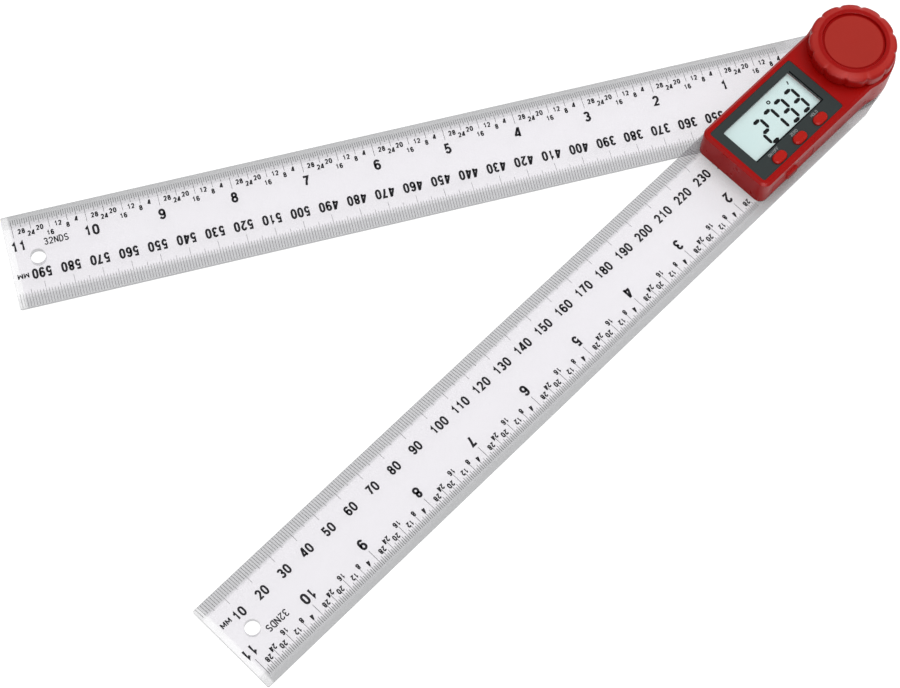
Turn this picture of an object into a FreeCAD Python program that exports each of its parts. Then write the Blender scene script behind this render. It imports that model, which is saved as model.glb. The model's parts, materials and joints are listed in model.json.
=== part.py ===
"""Digital angle finder with two clear rule arms, a display housing and a locking knob.

Millimetres. The origin is the centre of the flat back cap, on the pivot axis.
+Z runs along the pivot from the back cap to the knob, and +X along the base arm to its tip.
The swing arm rests at the angle that the tool is opened to.
"""
import FreeCAD
import Part
import math
import os

Vector = FreeCAD.Vector
UP = Vector(0, 0, 1)
RIGHT = Vector(1, 0, 0)
ORIGIN = Vector(0, 0, 0)

# How far a cutting tool runs past the face that it opens
OVERRUN = 1.0

# Screws, their holes and posts and the switch stems are prisms with this many sides
SMALL_ROUND_SIDES = 12

# Clear rule arms
ARM_LENGTH = 300.0
ARM_WIDTH = 35.0
ARM_THICKNESS = 2.5
ARM_TIP_RADIUS = 0.6
BEVEL_WIDTH = 4.6
RULE_EDGE_THICKNESS = 1.3
ARM_TAPER_START = 8.0
ARM_END_INSET = 0.4
HANG_HOLE_RADIUS = 2.65
HANG_HOLE_INSET = 9.8
REST_ANGLE = 30.2
ARM_GAP = 0.4

# Back cap under the swing arm
CAP_RADIUS = 14.0
CAP_THICKNESS = 2.0
CAP_EDGE_CHAMFER = 0.7
CAP_SPIGOT_RADIUS = 5.0
CAP_SPIGOT_FIT = 0.06
CAP_SPIGOT_SHORT = 0.1

# Hub that turns with the swing arm, the stud it holds, and the rotor of the angle encoder
HUB_RADIUS = 9.0
HUB_RUNNING_FIT = 0.07
HUB_STEP_RADIUS = 5.8
HUB_STEP_GAP = 0.3
HUB_NECK_RADIUS = 4.5
HUB_NECK_SINK = 0.4
STUD_RADIUS = 2.5
STUD_FIT = 0.05
STUD_FLAT_DEPTH = 0.5
STUD_HEAD_ACROSS_FLATS = 7.8
STUD_HEAD_HEIGHT = 2.6
STUD_HEAD_FIT = 0.06
STUD_END_GAP = 0.5
STUD_END_CHAMFER = 0.4
ROTOR_ROOM = 1.8
ROTOR_THICKNESS = 0.8
ROTOR_FIT = 0.05
ENCODER_GAP = 0.5
FRICTION_RING_WIDTH = 3.95
FRICTION_RING_THICKNESS = 0.3
FRICTION_RING_FIT = 0.25

# Display housing: a round head about the pivot and a straight body
CASE_HEAD_SWELL = 1.0
CASE_END = 62.0
CASE_CORNER_RADIUS = 3.0
CASE_NECK_BLEND = 12.0
CASE_WALL = 1.8
CASE_TOP_CHAMFER = 0.9
DECK_THICKNESS = 1.6
FLOOR_THICKNESS = 1.2
FLOOR_FIT = 0.12

# Display plate, window and glass
PLATE_MARGIN_X = 2.0
PLATE_MARGIN_Y = 2.4
PLATE_SCREW_GAP = 3.1
PLATE_CORNER_RADIUS = 0.8
PLATE_THICKNESS = 0.45
PLATE_SINK = 0.15
PLATE_FIT = 0.08
WINDOW_MARGIN_X = 3.5
WINDOW_MARGIN_LOW_Y = 2.9
WINDOW_MARGIN_HIGH_Y = 6.8
WINDOW_CORNER_RADIUS = 0.5
LENS_THICKNESS = 1.1
LENS_FIT = 0.08
GLASS_MARGIN = 0.6
GLASS_THICKNESS = 1.0
GLASS_DECK_GAP = 0.1
GLASS_LEDGE = 2.2
ZEBRA_WIDTH = 1.5
ZEBRA_INSET = 0.3

# Circuit board and the resin dome on it
BOARD_THICKNESS = 1.0
BOARD_FIT = 0.4
BOARD_TO_GLASS = 1.1
BOARD_HOLE_GAP = 0.5
BLOB_RADIUS = 3.8
BLOB_HEIGHT = 0.8
BLOB_SLOPE = 0.4
BLOB_SHIFT_X = 9.0

# Screws: four drive up through the base arm into the case, three hold the back cap
SCREW_RADIUS = 0.8
SCREW_HEAD_RADIUS = 1.6
SCREW_HEAD_HEIGHT = 0.9
SCREW_FIT = 0.04
SCREW_PASS_GAP = 0.12
CASE_SCREW_INSET = 1.45
CASE_SCREW_NEAR_X = 15.6
CASE_SCREW_SHORT = 1.2
CASE_BOSS_RADIUS = 1.7
CAP_SCREW_COUNT = 3
CAP_SCREW_INSET = 2.1
CAP_SCREW_BITE = 4.0

# Push buttons and the switches under them
BUTTON_ROW_SHIFT = 0.45
BUTTON_ROW_INSET = 2.3
BUTTON_ROW_TRIM = 2.5
BUTTON_LENGTH = 5.8
BUTTON_WIDTH = 3.7
BUTTON_STAND = 1.0
BUTTON_TOP_CHAMFER = 0.5
BUTTON_FIT = 0.15
BUTTON_TRAVEL = 0.5
BUTTON_FLANGE = 0.35
BUTTON_FLANGE_THICKNESS = 0.5
BUTTON_FLANGE_GAP = 0.1
BUTTON_SWITCH_GAP = 0.1
SWITCH_LENGTH = 4.0
SWITCH_WIDTH = 3.0
SWITCH_BODY_HEIGHT = 0.6
SWITCH_STEM_RADIUS = 0.8
SWITCH_STEM_HEIGHT = 0.5

# Coin cell, the drawer that it slides out in, and its two contacts
CELL_RADIUS = 10.0
CELL_HEIGHT = 3.2
CELL_CAP_INSET = 1.4
CELL_CAP_HEIGHT = 0.3
CELL_FIT = 0.1
DRAWER_FLOOR = 0.8
DRAWER_FLOOR_GAP = 0.1
DRAWER_SIDE_WALL = 0.6
DRAWER_BACK_WALL = 1.1
DRAWER_BACK_ROOM = 3.6
DRAWER_FRONT_WALL = 1.5
DRAWER_RIM_DROP = 0.7
DRAWER_PUSH_HOLE_RADIUS = 4.0
DRAWER_FRONT_HEIGHT = 6.0
DRAWER_FRONT_FIT = 0.12
DRAWER_RAIL_THICKNESS = 0.8
DRAWER_RAIL_HEIGHT = 3.4
DRAWER_RAIL_GAP = 0.15
DRAWER_BOSS_GAP = 0.35
NUB_LENGTH = 5.4
NUB_HEIGHT = 3.6
NUB_STAND = 1.2
NUB_CHAMFER = 0.5
NUB_SHIFT_X = 1.2
NUB_RISE = 0.5
CONTACT_ROOM = 1.2
CONTACT_THICKNESS = 0.2
CONTACT_WIDTH = 3.4
CONTACT_PAD_LENGTH = 3.0
CONTACT_SLOPE_LENGTH = 4.5
CONTACT_GAP = 0.05
CONTACT_FOOT_RISE = 1.4
CONTACT_NOTCH_GAP = 1.3

# Locking knob with its inlay, nut and thrust washer
KNOB_SETBACK = 0.2
KNOB_LOBES = 12
KNOB_LOBE_DEPTH = 0.65
KNOB_HEIGHT = 5.6
KNOB_DECK_GAP = 0.7
KNOB_SHOULDER_DROP = 1.5
KNOB_RING_INSET = 2.9
KNOB_RING_WIDTH = 1.5
KNOB_RING_CHAMFER = 0.3
KNOB_RECESS = 0.7
KNOB_SKIRT = 1.7
KNOB_ROOF = 1.2
KNOB_BOSS_RADIUS = 6.4
KNOB_RIB_COUNT = 6
KNOB_RIB_WIDTH = 1.0
KNOB_RIB_SINK = 0.8
INLAY_THICKNESS = 0.8
INLAY_FIT = 0.06
NUT_ACROSS_FLATS = 8.0
NUT_HEIGHT = 3.0
NUT_FIT = 0.05
WASHER_RADIUS = 8.5
WASHER_THICKNESS = 0.6
WASHER_KNOB_GAP = 0.05

# Levels, stacked from the back cap up
SWING_BOTTOM = CAP_THICKNESS
SWING_TOP = SWING_BOTTOM + ARM_THICKNESS
BASE_BOTTOM = SWING_TOP + ARM_GAP
BASE_TOP = BASE_BOTTOM + ARM_THICKNESS
FLOOR_TOP = BASE_TOP + FLOOR_THICKNESS
DRAWER_BOTTOM = FLOOR_TOP + DRAWER_FLOOR_GAP
CELL_BOTTOM = DRAWER_BOTTOM + DRAWER_FLOOR
CELL_TOP = CELL_BOTTOM + CELL_HEIGHT
BOARD_BOTTOM = CELL_TOP + CONTACT_ROOM
BOARD_TOP = BOARD_BOTTOM + BOARD_THICKNESS
GLASS_BOTTOM = BOARD_TOP + BOARD_TO_GLASS
GLASS_SEAM = GLASS_BOTTOM + GLASS_THICKNESS
GLASS_TOP = GLASS_SEAM + GLASS_THICKNESS
DECK_BOTTOM = GLASS_TOP + GLASS_DECK_GAP
DECK_TOP = DECK_BOTTOM + DECK_THICKNESS
PLATE_TOP = DECK_TOP - PLATE_SINK
PLATE_BOTTOM = PLATE_TOP - PLATE_THICKNESS
ROTOR_TOP = BOARD_BOTTOM - ENCODER_GAP
ROTOR_BOTTOM = ROTOR_TOP - ROTOR_THICKNESS
WASHER_TOP = DECK_TOP + WASHER_THICKNESS
KNOB_BOTTOM = DECK_TOP + KNOB_DECK_GAP
KNOB_TOP = KNOB_BOTTOM + KNOB_HEIGHT
INLAY_TOP = KNOB_TOP - KNOB_RECESS
INLAY_BOTTOM = INLAY_TOP - INLAY_THICKNESS
KNOB_CEILING = INLAY_BOTTOM - KNOB_ROOF
KNOB_BOSS_BOTTOM = WASHER_TOP + WASHER_KNOB_GAP
KNOB_BORE_TOP = KNOB_CEILING + KNOB_ROOF / 2
SCREW_TOP = DECK_TOP - CASE_SCREW_SHORT

# Places, worked out from what each piece lines up with
CASE_INSIDE_WIDTH = (2 * (CELL_RADIUS + CELL_FIT) + DRAWER_FRONT_WALL + DRAWER_BACK_WALL
                     + DRAWER_BACK_ROOM)
CASE_HALF_WIDTH = CASE_INSIDE_WIDTH / 2 + CASE_WALL
CASE_HEAD_RADIUS = CASE_HALF_WIDTH + CASE_HEAD_SWELL
ARM_END_RADIUS = CASE_HEAD_RADIUS - ARM_END_INSET
ROTOR_RADIUS = CASE_HEAD_RADIUS - CASE_WALL - ROTOR_ROOM
CASE_INSIDE_Y = CASE_HALF_WIDTH - CASE_WALL
CASE_SCREW_FAR_X = CASE_END - CASE_WALL - CASE_SCREW_INSET
CASE_SCREW_Y = CASE_INSIDE_Y - CASE_SCREW_INSET
CASE_SCREWS = [(x, y) for x in (CASE_SCREW_NEAR_X, CASE_SCREW_FAR_X)
               for y in (-CASE_SCREW_Y, CASE_SCREW_Y)]
PLATE_HIGH_X = CASE_END - PLATE_MARGIN_X
PLATE_LOW_X = CASE_SCREW_NEAR_X + PLATE_SCREW_GAP
PLATE_HALF_WIDTH = CASE_HALF_WIDTH - PLATE_MARGIN_Y
WINDOW_LOW_X = PLATE_LOW_X + WINDOW_MARGIN_X
WINDOW_HIGH_X = PLATE_HIGH_X - WINDOW_MARGIN_X
WINDOW_LOW_Y = WINDOW_MARGIN_LOW_Y - PLATE_HALF_WIDTH
WINDOW_HIGH_Y = PLATE_HALF_WIDTH - WINDOW_MARGIN_HIGH_Y
WINDOW_MIDDLE_X = (WINDOW_LOW_X + WINDOW_HIGH_X) / 2
WINDOW_MIDDLE_Y = (WINDOW_LOW_Y + WINDOW_HIGH_Y) / 2
BUTTON_Y = PLATE_HALF_WIDTH - BUTTON_ROW_INSET
BUTTON_PITCH = (WINDOW_HIGH_X - WINDOW_LOW_X - BUTTON_ROW_TRIM) / 3
BUTTON_XS = [WINDOW_MIDDLE_X - BUTTON_ROW_SHIFT + BUTTON_PITCH * k for k in (-1, 0, 1)]
BUTTON_NAMES = ("hold_button", "zero_button", "power_button")
BUTTON_BOTTOM = (BOARD_TOP + SWITCH_BODY_HEIGHT + SWITCH_STEM_HEIGHT + BUTTON_SWITCH_GAP
                 + BUTTON_TRAVEL)
DRAWER_HALF = CELL_RADIUS + CELL_FIT + DRAWER_SIDE_WALL
DRAWER_X = CASE_SCREW_FAR_X - CASE_BOSS_RADIUS - DRAWER_BOSS_GAP - DRAWER_HALF
CELL_Y = CASE_INSIDE_Y - DRAWER_FRONT_WALL - CELL_FIT - CELL_RADIUS
CAP_SCREW_CIRCLE = HUB_RADIUS - CAP_SCREW_INSET
CAP_SCREWS = [(CAP_SCREW_CIRCLE * math.cos(turn), CAP_SCREW_CIRCLE * math.sin(turn))
              for turn in [2 * math.pi * k / CAP_SCREW_COUNT for k in range(CAP_SCREW_COUNT)]]
KNOB_CREST_RADIUS = CASE_HEAD_RADIUS - KNOB_SETBACK
KNOB_NOTCH_RADIUS = KNOB_CREST_RADIUS - KNOB_LOBE_DEPTH
KNOB_RING_OUTER_RADIUS = KNOB_CREST_RADIUS - KNOB_RING_INSET
KNOB_RING_INNER_RADIUS = KNOB_RING_OUTER_RADIUS - KNOB_RING_WIDTH


def disc(radius, low, high, x=0, y=0):
    """An upright cylinder between two levels."""
    return Part.makeCylinder(radius, high - low, Vector(x, y, low))


def ring(outer, inner, low, high):
    """A flat ring about the pivot axis."""
    return disc(outer, low, high).cut(disc(inner, low - OVERRUN, high + OVERRUN))


def block(low_x, high_x, low_y, high_y, low, high):
    """A box between two corners."""
    return Part.makeBox(high_x - low_x, high_y - low_y, high - low, Vector(low_x, low_y, low))


def rounded_block(low_x, high_x, low_y, high_y, radius, low, high):
    """A box whose upright edges are rounded."""
    solid = block(low_x, high_x, low_y, high_y, low, high)
    return solid.makeFillet(radius, upright_edges(solid))


def slot_block(x, y, length, width, low, high):
    """An upright bar with round ends, long along X."""
    half = (length - width) / 2
    middle = block(x - half, x + half, y - width / 2, y + width / 2, low, high)
    ends = [disc(width / 2, low, high, x + side * half, y) for side in (-1, 1)]
    return middle.fuse(ends).removeSplitter()


def prism(sides, corner, low, high, x=0, y=0):
    """An upright prism with a regular outline, from the radius to its corners."""
    turns = [2 * math.pi * k / sides for k in range(sides + 1)]
    points = [Vector(x + corner * math.cos(a), y + corner * math.sin(a), low) for a in turns]
    return Part.Face(Part.makePolygon(points)).extrude(UP * (high - low))


def small_round(radius, low, high, x, y):
    """A small round pin or hole, drawn with few faces because it repeats."""
    return prism(SMALL_ROUND_SIDES, radius, low, high, x, y)


def hexagon(across_flats, low, high):
    """A hexagonal prism about the pivot axis."""
    return prism(6, across_flats / 2 / math.cos(math.pi / 6), low, high)


def revolved(profile):
    """A solid turned about the pivot axis from the radius and level of each corner."""
    points = [Vector(radius, 0, level) for radius, level in profile + profile[:1]]
    return Part.Face(Part.makePolygon(points)).revolve(ORIGIN, UP, 360)


def arc(start, middle, end):
    """A circular edge through three points."""
    return Part.Arc(start, middle, end).toShape()


def upright_edges(solid):
    """The straight edges that run along Z."""
    found = []
    for edge in solid.Edges:
        run = edge.Vertexes[-1].Point - edge.Vertexes[0].Point
        if run.Length > 0 and abs(run.z) > 0.999 * run.Length:
            found.append(edge)
    return found


def edges_at(solid, level):
    """The edges that lie flat at one level."""
    near = 1e-6
    return [edge for edge in solid.Edges
            if abs(edge.BoundBox.ZMin - level) < near and abs(edge.BoundBox.ZMax - level) < near]


def edges_facing_out(solid, y):
    """The edges that reach the face at one Y."""
    return [edge for edge in solid.Edges if abs(edge.BoundBox.YMax - y) < 1e-6]


def turned_to_rest(shape):
    """Turns a swing-arm piece from the base arm's direction to where the tool is opened."""
    turned = shape.copy()
    turned.rotate(ORIGIN, UP, -REST_ANGLE)
    return turned


def case_outline(inset, level):
    """The housing's outline: a round head about the pivot, blended into straight sides.

    Each arc keeps its centre as the outline moves in, so the wall has one thickness."""
    head = CASE_HEAD_RADIUS - inset
    half = CASE_HALF_WIDTH - inset
    blend = CASE_NECK_BLEND + inset
    end = CASE_END - inset
    corner = max(CASE_CORNER_RADIUS - inset, CASE_CORNER_RADIUS / 4)
    slant = corner * (1 - math.sqrt(0.5))
    neck_x = math.sqrt((head + blend) ** 2 - (half + blend) ** 2)
    lift = Vector(0, 0, level)
    blend_centre = Vector(neck_x, half + blend, 0)
    on_head = blend_centre * (head / (head + blend))
    on_side = Vector(neck_x, half, 0)
    towards_case = (on_head + on_side) / 2 - blend_centre
    high_side = [
        on_head,
        blend_centre + towards_case.normalize() * blend,
        on_side,
        Vector(end - corner, half, 0),
        Vector(end - slant, half - slant, 0),
        Vector(end, half - corner, 0),
    ]
    high = [point + lift for point in high_side]
    low = [Vector(point.x, -point.y, level) for point in high_side]
    return Part.Wire([
        arc(low[0], Vector(-head, 0, level), high[0]),
        arc(high[0], high[1], high[2]),
        Part.makeLine(high[2], high[3]),
        arc(high[3], high[4], high[5]),
        Part.makeLine(high[5], low[5]),
        arc(low[5], low[4], low[3]),
        Part.makeLine(low[3], low[2]),
        arc(low[2], low[1], low[0]),
    ])


def case_block(inset, low, high):
    """The housing's outline, moved in and drawn up between two levels."""
    return Part.Face(case_outline(inset, low)).extrude(UP * (high - low))


def screw(x, y, low, high):
    """A screw whose head lies at the low level and faces down."""
    head = small_round(SCREW_HEAD_RADIUS, low, low + SCREW_HEAD_HEIGHT, x, y)
    return head.fuse(small_round(SCREW_RADIUS, low, high, x, y)).removeSplitter()


def screw_passage(x, y, low, high):
    """The counterbore and the hole that let such a screw through."""
    wide, narrow = SCREW_HEAD_RADIUS + SCREW_PASS_GAP, SCREW_RADIUS + SCREW_PASS_GAP
    counterbore = small_round(wide, low - OVERRUN, low + SCREW_HEAD_HEIGHT, x, y)
    return counterbore.fuse(small_round(narrow, low, high, x, y))


def arm_plan(low, high):
    """An arm from above: parallel sides that taper to a round end, drawn up between two levels."""
    half = ARM_WIDTH / 2
    turn = (math.atan2(half, ARM_TAPER_START)
            + math.acos(ARM_END_RADIUS / math.hypot(ARM_TAPER_START, half)))
    touch = Vector(ARM_END_RADIUS * math.cos(turn), ARM_END_RADIUS * math.sin(turn), low)
    high_side = [touch, Vector(ARM_TAPER_START, half, low), Vector(ARM_LENGTH + OVERRUN, half, low)]
    low_side = [Vector(point.x, -point.y, low) for point in reversed(high_side)]
    sides = Part.makePolygon(high_side + low_side).Edges
    end = arc(low_side[-1], Vector(-ARM_END_RADIUS, 0, low), touch)
    return Part.Face(Part.Wire(sides + [end])).extrude(UP * (high - low))


def rule_arm(bottom):
    """A clear rule with a round pivot end, two bevelled long edges and a hanging hole."""
    top = bottom + ARM_THICKNESS
    half = ARM_WIDTH / 2
    flat = half - BEVEL_WIDTH
    shoulder = bottom + RULE_EDGE_THICKNESS
    half_section = [(half, bottom), (half, shoulder), (flat, top)]
    section = half_section + [(-y, z) for y, z in reversed(half_section)]
    points = [Vector(0, y, z) for y, z in section + section[:1]]
    blade = Part.Face(Part.makePolygon(points)).extrude(RIGHT * ARM_LENGTH)
    tip = [edge for edge in upright_edges(blade) if edge.BoundBox.XMin > ARM_LENGTH / 2]
    blade = blade.makeFillet(ARM_TIP_RADIUS, tip)
    pivot_end = revolved([(0, bottom)] + half_section + [(0, top)])
    arm = blade.fuse(pivot_end).common(arm_plan(bottom, top)).removeSplitter()
    hole_x = ARM_LENGTH - HANG_HOLE_INSET
    return arm.cut(disc(HANG_HOLE_RADIUS, bottom - OVERRUN, top + OVERRUN, hole_x))


def base_arm():
    """The rule that carries the housing, bored for the hub and counterbored for the case screws."""
    arm = rule_arm(BASE_BOTTOM)
    arm = arm.cut(disc(HUB_RADIUS + HUB_RUNNING_FIT, BASE_BOTTOM - OVERRUN, BASE_TOP + OVERRUN))
    for x, y in CASE_SCREWS:
        arm = arm.cut(screw_passage(x, y, BASE_BOTTOM, BASE_TOP + OVERRUN))
    return arm


def swing_arm():
    """The rule underneath, clamped between the back cap and the hub."""
    arm = rule_arm(SWING_BOTTOM)
    arm = arm.cut(disc(CAP_SPIGOT_RADIUS, SWING_BOTTOM - OVERRUN, SWING_TOP + OVERRUN))
    for x, y in CAP_SCREWS:
        arm = arm.cut(small_round(SCREW_RADIUS + SCREW_PASS_GAP, SWING_BOTTOM - OVERRUN,
                                  SWING_TOP + OVERRUN, x, y))
    return turned_to_rest(arm)


def back_cap():
    """A flat disc with a spigot that fills the swing arm's hole and backs the stud's head."""
    plate = disc(CAP_RADIUS, 0, CAP_THICKNESS)
    plate = plate.makeChamfer(CAP_EDGE_CHAMFER, edges_at(plate, 0))
    spigot = disc(CAP_SPIGOT_RADIUS - CAP_SPIGOT_FIT, 0, SWING_TOP - CAP_SPIGOT_SHORT)
    cap = plate.fuse(spigot).removeSplitter()
    for x, y in CAP_SCREWS:
        cap = cap.cut(screw_passage(x, y, 0, CAP_THICKNESS + OVERRUN))
    return turned_to_rest(cap)


def cap_screws():
    """The screws that pull the back cap, the swing arm and the hub together."""
    high = SWING_TOP + CAP_SCREW_BITE
    return turned_to_rest(Part.makeCompound([screw(x, y, 0, high) for x, y in CAP_SCREWS]))


def pivot_hub():
    """The stepped boss that turns in the base arm, with a pocket that keys the stud's head."""
    hub = disc(HUB_RADIUS, SWING_TOP, ROTOR_BOTTOM)
    hub = hub.fuse([disc(HUB_STEP_RADIUS, SWING_TOP, DECK_BOTTOM - HUB_STEP_GAP),
                    disc(HUB_NECK_RADIUS, SWING_TOP, DECK_TOP - HUB_NECK_SINK)])
    hub = hub.removeSplitter()
    hub = hub.cut(hexagon(STUD_HEAD_ACROSS_FLATS + 2 * STUD_HEAD_FIT, SWING_TOP - OVERRUN,
                          SWING_TOP + STUD_HEAD_HEIGHT + STUD_HEAD_FIT))
    hub = hub.cut(disc(STUD_RADIUS + STUD_FIT, SWING_TOP - OVERRUN, DECK_TOP + OVERRUN))
    pilot_top = SWING_TOP + CAP_SCREW_BITE + SCREW_PASS_GAP
    for x, y in CAP_SCREWS:
        hub = hub.cut(small_round(SCREW_RADIUS + SCREW_FIT, SWING_TOP - OVERRUN, pilot_top, x, y))
    return turned_to_rest(hub)


def stud_bar(grow, low, high):
    """The stud's shank, round but for one flat."""
    radius = STUD_RADIUS + grow
    flat = STUD_RADIUS - STUD_FLAT_DEPTH + grow
    beyond = block(flat, radius + OVERRUN, -radius - OVERRUN, radius + OVERRUN,
                   low - OVERRUN, high + OVERRUN)
    return disc(radius, low, high).cut(beyond)


def pivot_stud():
    """The hexagon-headed stud that the knob's nut runs on."""
    top = KNOB_BORE_TOP - STUD_END_GAP
    shank = disc(STUD_RADIUS, SWING_TOP, top)
    shank = shank.makeChamfer(STUD_END_CHAMFER, edges_at(shank, top))
    shank = shank.common(stud_bar(0, DECK_TOP, top).fuse(disc(STUD_RADIUS, SWING_TOP, DECK_TOP)))
    head = hexagon(STUD_HEAD_ACROSS_FLATS, SWING_TOP, SWING_TOP + STUD_HEAD_HEIGHT)
    return turned_to_rest(head.fuse(shank).removeSplitter())


def encoder_rotor():
    """The patterned disc that the board reads the angle from."""
    return turned_to_rest(ring(ROTOR_RADIUS, HUB_STEP_RADIUS + ROTOR_FIT, ROTOR_BOTTOM, ROTOR_TOP))


def friction_ring():
    """The slip ring that keeps the two arms apart."""
    inner = HUB_RADIUS + FRICTION_RING_FIT
    return turned_to_rest(ring(inner + FRICTION_RING_WIDTH, inner, SWING_TOP,
                               SWING_TOP + FRICTION_RING_THICKNESS))


def plate_block(grow, low, high):
    """The outline of the display plate, drawn up between two levels."""
    return rounded_block(PLATE_LOW_X - grow, PLATE_HIGH_X + grow, -PLATE_HALF_WIDTH - grow,
                         PLATE_HALF_WIDTH + grow, PLATE_CORNER_RADIUS + grow, low, high)


def window_block(grow, low, high):
    """The outline of the window, drawn up between two levels."""
    return rounded_block(WINDOW_LOW_X - grow, WINDOW_HIGH_X + grow, WINDOW_LOW_Y - grow,
                         WINDOW_HIGH_Y + grow, WINDOW_CORNER_RADIUS, low, high)


def button_openings(low, high):
    """The three slots that the buttons come up through."""
    length, width = BUTTON_LENGTH + 2 * BUTTON_FIT, BUTTON_WIDTH + 2 * BUTTON_FIT
    return [slot_block(x, BUTTON_Y, length, width, low, high) for x in BUTTON_XS]


def upper_case():
    """The moulded housing: deck, walls and screw bosses, open for display, buttons and drawer."""
    case = case_block(0, BASE_TOP, DECK_TOP)
    case = case.makeChamfer(CASE_TOP_CHAMFER, edges_at(case, DECK_TOP))
    case = case.cut(case_block(CASE_WALL, BASE_TOP - OVERRUN, DECK_BOTTOM))
    room = case_block(0, BOARD_TOP, DECK_BOTTOM)
    for x, y in CASE_SCREWS:
        case = case.fuse(small_round(CASE_BOSS_RADIUS, BOARD_TOP, DECK_BOTTOM, x, y).common(room))
        case = case.cut(small_round(SCREW_RADIUS + SCREW_FIT, BOARD_TOP - OVERRUN,
                                    SCREW_TOP + SCREW_PASS_GAP, x, y))
    case = case.removeSplitter()
    case = case.cut(plate_block(PLATE_FIT, PLATE_BOTTOM, DECK_TOP + OVERRUN))
    case = case.cut(window_block(0, DECK_BOTTOM - OVERRUN, DECK_TOP + OVERRUN))
    case = case.cut(button_openings(DECK_BOTTOM - OVERRUN, DECK_TOP + OVERRUN))
    case = case.cut(disc(HUB_NECK_RADIUS + HUB_RUNNING_FIT, DECK_BOTTOM - OVERRUN,
                         DECK_TOP + OVERRUN))
    half = DRAWER_HALF + DRAWER_FRONT_FIT
    return case.cut(block(DRAWER_X - half, DRAWER_X + half, CASE_INSIDE_Y - OVERRUN,
                          CASE_HALF_WIDTH + OVERRUN, DRAWER_BOTTOM - DRAWER_FRONT_FIT,
                          DRAWER_BOTTOM + DRAWER_FRONT_HEIGHT + DRAWER_FRONT_FIT))


def drawer_rails():
    """The two ribs that guide the drawer, short of the screw posts."""
    near = DRAWER_HALF + DRAWER_RAIL_GAP
    far = near + DRAWER_RAIL_THICKNESS
    reach = CASE_SCREW_Y - CASE_BOSS_RADIUS - SCREW_PASS_GAP
    high = FLOOR_TOP + DRAWER_RAIL_HEIGHT
    return [block(DRAWER_X + low_side, DRAWER_X + high_side, -reach, reach, BASE_TOP, high)
            for low_side, high_side in ((-far, -near), (near, far))]


def lower_case():
    """The floor of the housing, with hollow posts under the board and rails for the drawer."""
    inset = CASE_WALL + FLOOR_FIT
    floor = case_block(inset, BASE_TOP, FLOOR_TOP)
    inside = case_block(inset, BASE_TOP, BOARD_BOTTOM)
    posts = [small_round(CASE_BOSS_RADIUS, BASE_TOP, BOARD_BOTTOM, x, y).common(inside)
             for x, y in CASE_SCREWS]
    floor = floor.fuse(posts + drawer_rails()).removeSplitter()
    floor = floor.cut(disc(HUB_RADIUS + BOARD_HOLE_GAP, BASE_TOP - OVERRUN, FLOOR_TOP + OVERRUN))
    for x, y in CASE_SCREWS:
        floor = floor.cut(small_round(SCREW_RADIUS + SCREW_PASS_GAP, BASE_TOP - OVERRUN,
                                      BOARD_BOTTOM + OVERRUN, x, y))
    return floor


def case_screws():
    """The screws that hold the base arm, the floor, the board and the upper case together."""
    return Part.makeCompound([screw(x, y, BASE_BOTTOM, SCREW_TOP) for x, y in CASE_SCREWS])


def display_plate():
    """The dark printed bezel, open over the window and the buttons."""
    plate = plate_block(0, PLATE_BOTTOM, PLATE_TOP)
    plate = plate.cut(window_block(0, PLATE_BOTTOM - OVERRUN, PLATE_TOP + OVERRUN))
    return plate.cut(button_openings(PLATE_BOTTOM - OVERRUN, PLATE_TOP + OVERRUN))


def display_lens():
    """The clear window that fills the plate's opening."""
    return window_block(-LENS_FIT, PLATE_TOP - LENS_THICKNESS, PLATE_TOP)


def display_glass():
    """Two display panes: the upper one overhangs the lower, where the strips meet its contacts."""
    grow = GLASS_MARGIN
    low_x, high_x = WINDOW_LOW_X - grow, WINDOW_HIGH_X + grow
    low_y, high_y = WINDOW_LOW_Y - grow, WINDOW_HIGH_Y + grow
    upper = block(low_x, high_x, low_y, high_y, GLASS_SEAM, GLASS_TOP)
    lower = block(low_x, high_x, low_y + GLASS_LEDGE, high_y - GLASS_LEDGE, GLASS_BOTTOM,
                  GLASS_SEAM)
    return upper.fuse(lower)


def zebra_strips():
    """Two rubber strips that carry the display's contacts down to the board."""
    low_edge = WINDOW_LOW_Y - GLASS_MARGIN + ZEBRA_INSET
    high_edge = WINDOW_HIGH_Y + GLASS_MARGIN - ZEBRA_INSET
    edges = ((low_edge, low_edge + ZEBRA_WIDTH), (high_edge - ZEBRA_WIDTH, high_edge))
    return Part.makeCompound([block(WINDOW_LOW_X, WINDOW_HIGH_X, low, high, BOARD_TOP, GLASS_SEAM)
                              for low, high in edges])


def main_board():
    """The circuit board, cut to the housing's outline and open round the hub."""
    board = case_block(CASE_WALL + BOARD_FIT, BOARD_BOTTOM, BOARD_TOP)
    low, high = BOARD_BOTTOM - OVERRUN, BOARD_TOP + OVERRUN
    board = board.cut(disc(HUB_STEP_RADIUS + BOARD_HOLE_GAP, low, high))
    for x, y in CASE_SCREWS:
        board = board.cut(small_round(SCREW_RADIUS + SCREW_PASS_GAP, low, high, x, y))
    return board


def controller_blob():
    """The low mound of resin over the controller chip."""
    x, y = WINDOW_MIDDLE_X - BLOB_SHIFT_X, WINDOW_MIDDLE_Y
    top = BOARD_TOP + BLOB_HEIGHT
    mound = small_round(BLOB_RADIUS, BOARD_TOP, top, x, y)
    return mound.makeChamfer(BLOB_SLOPE, edges_at(mound, top))


def button_switches():
    """One low push switch on the board under each button."""
    switches = []
    half_length, half_width = SWITCH_LENGTH / 2, SWITCH_WIDTH / 2
    stem_bottom = BOARD_TOP + SWITCH_BODY_HEIGHT
    for x in BUTTON_XS:
        body = block(x - half_length, x + half_length, BUTTON_Y - half_width,
                     BUTTON_Y + half_width, BOARD_TOP, stem_bottom)
        stem = small_round(SWITCH_STEM_RADIUS, stem_bottom, stem_bottom + SWITCH_STEM_HEIGHT,
                           x, BUTTON_Y)
        switches.append(body.fuse(stem))
    return Part.makeCompound(switches)


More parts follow.
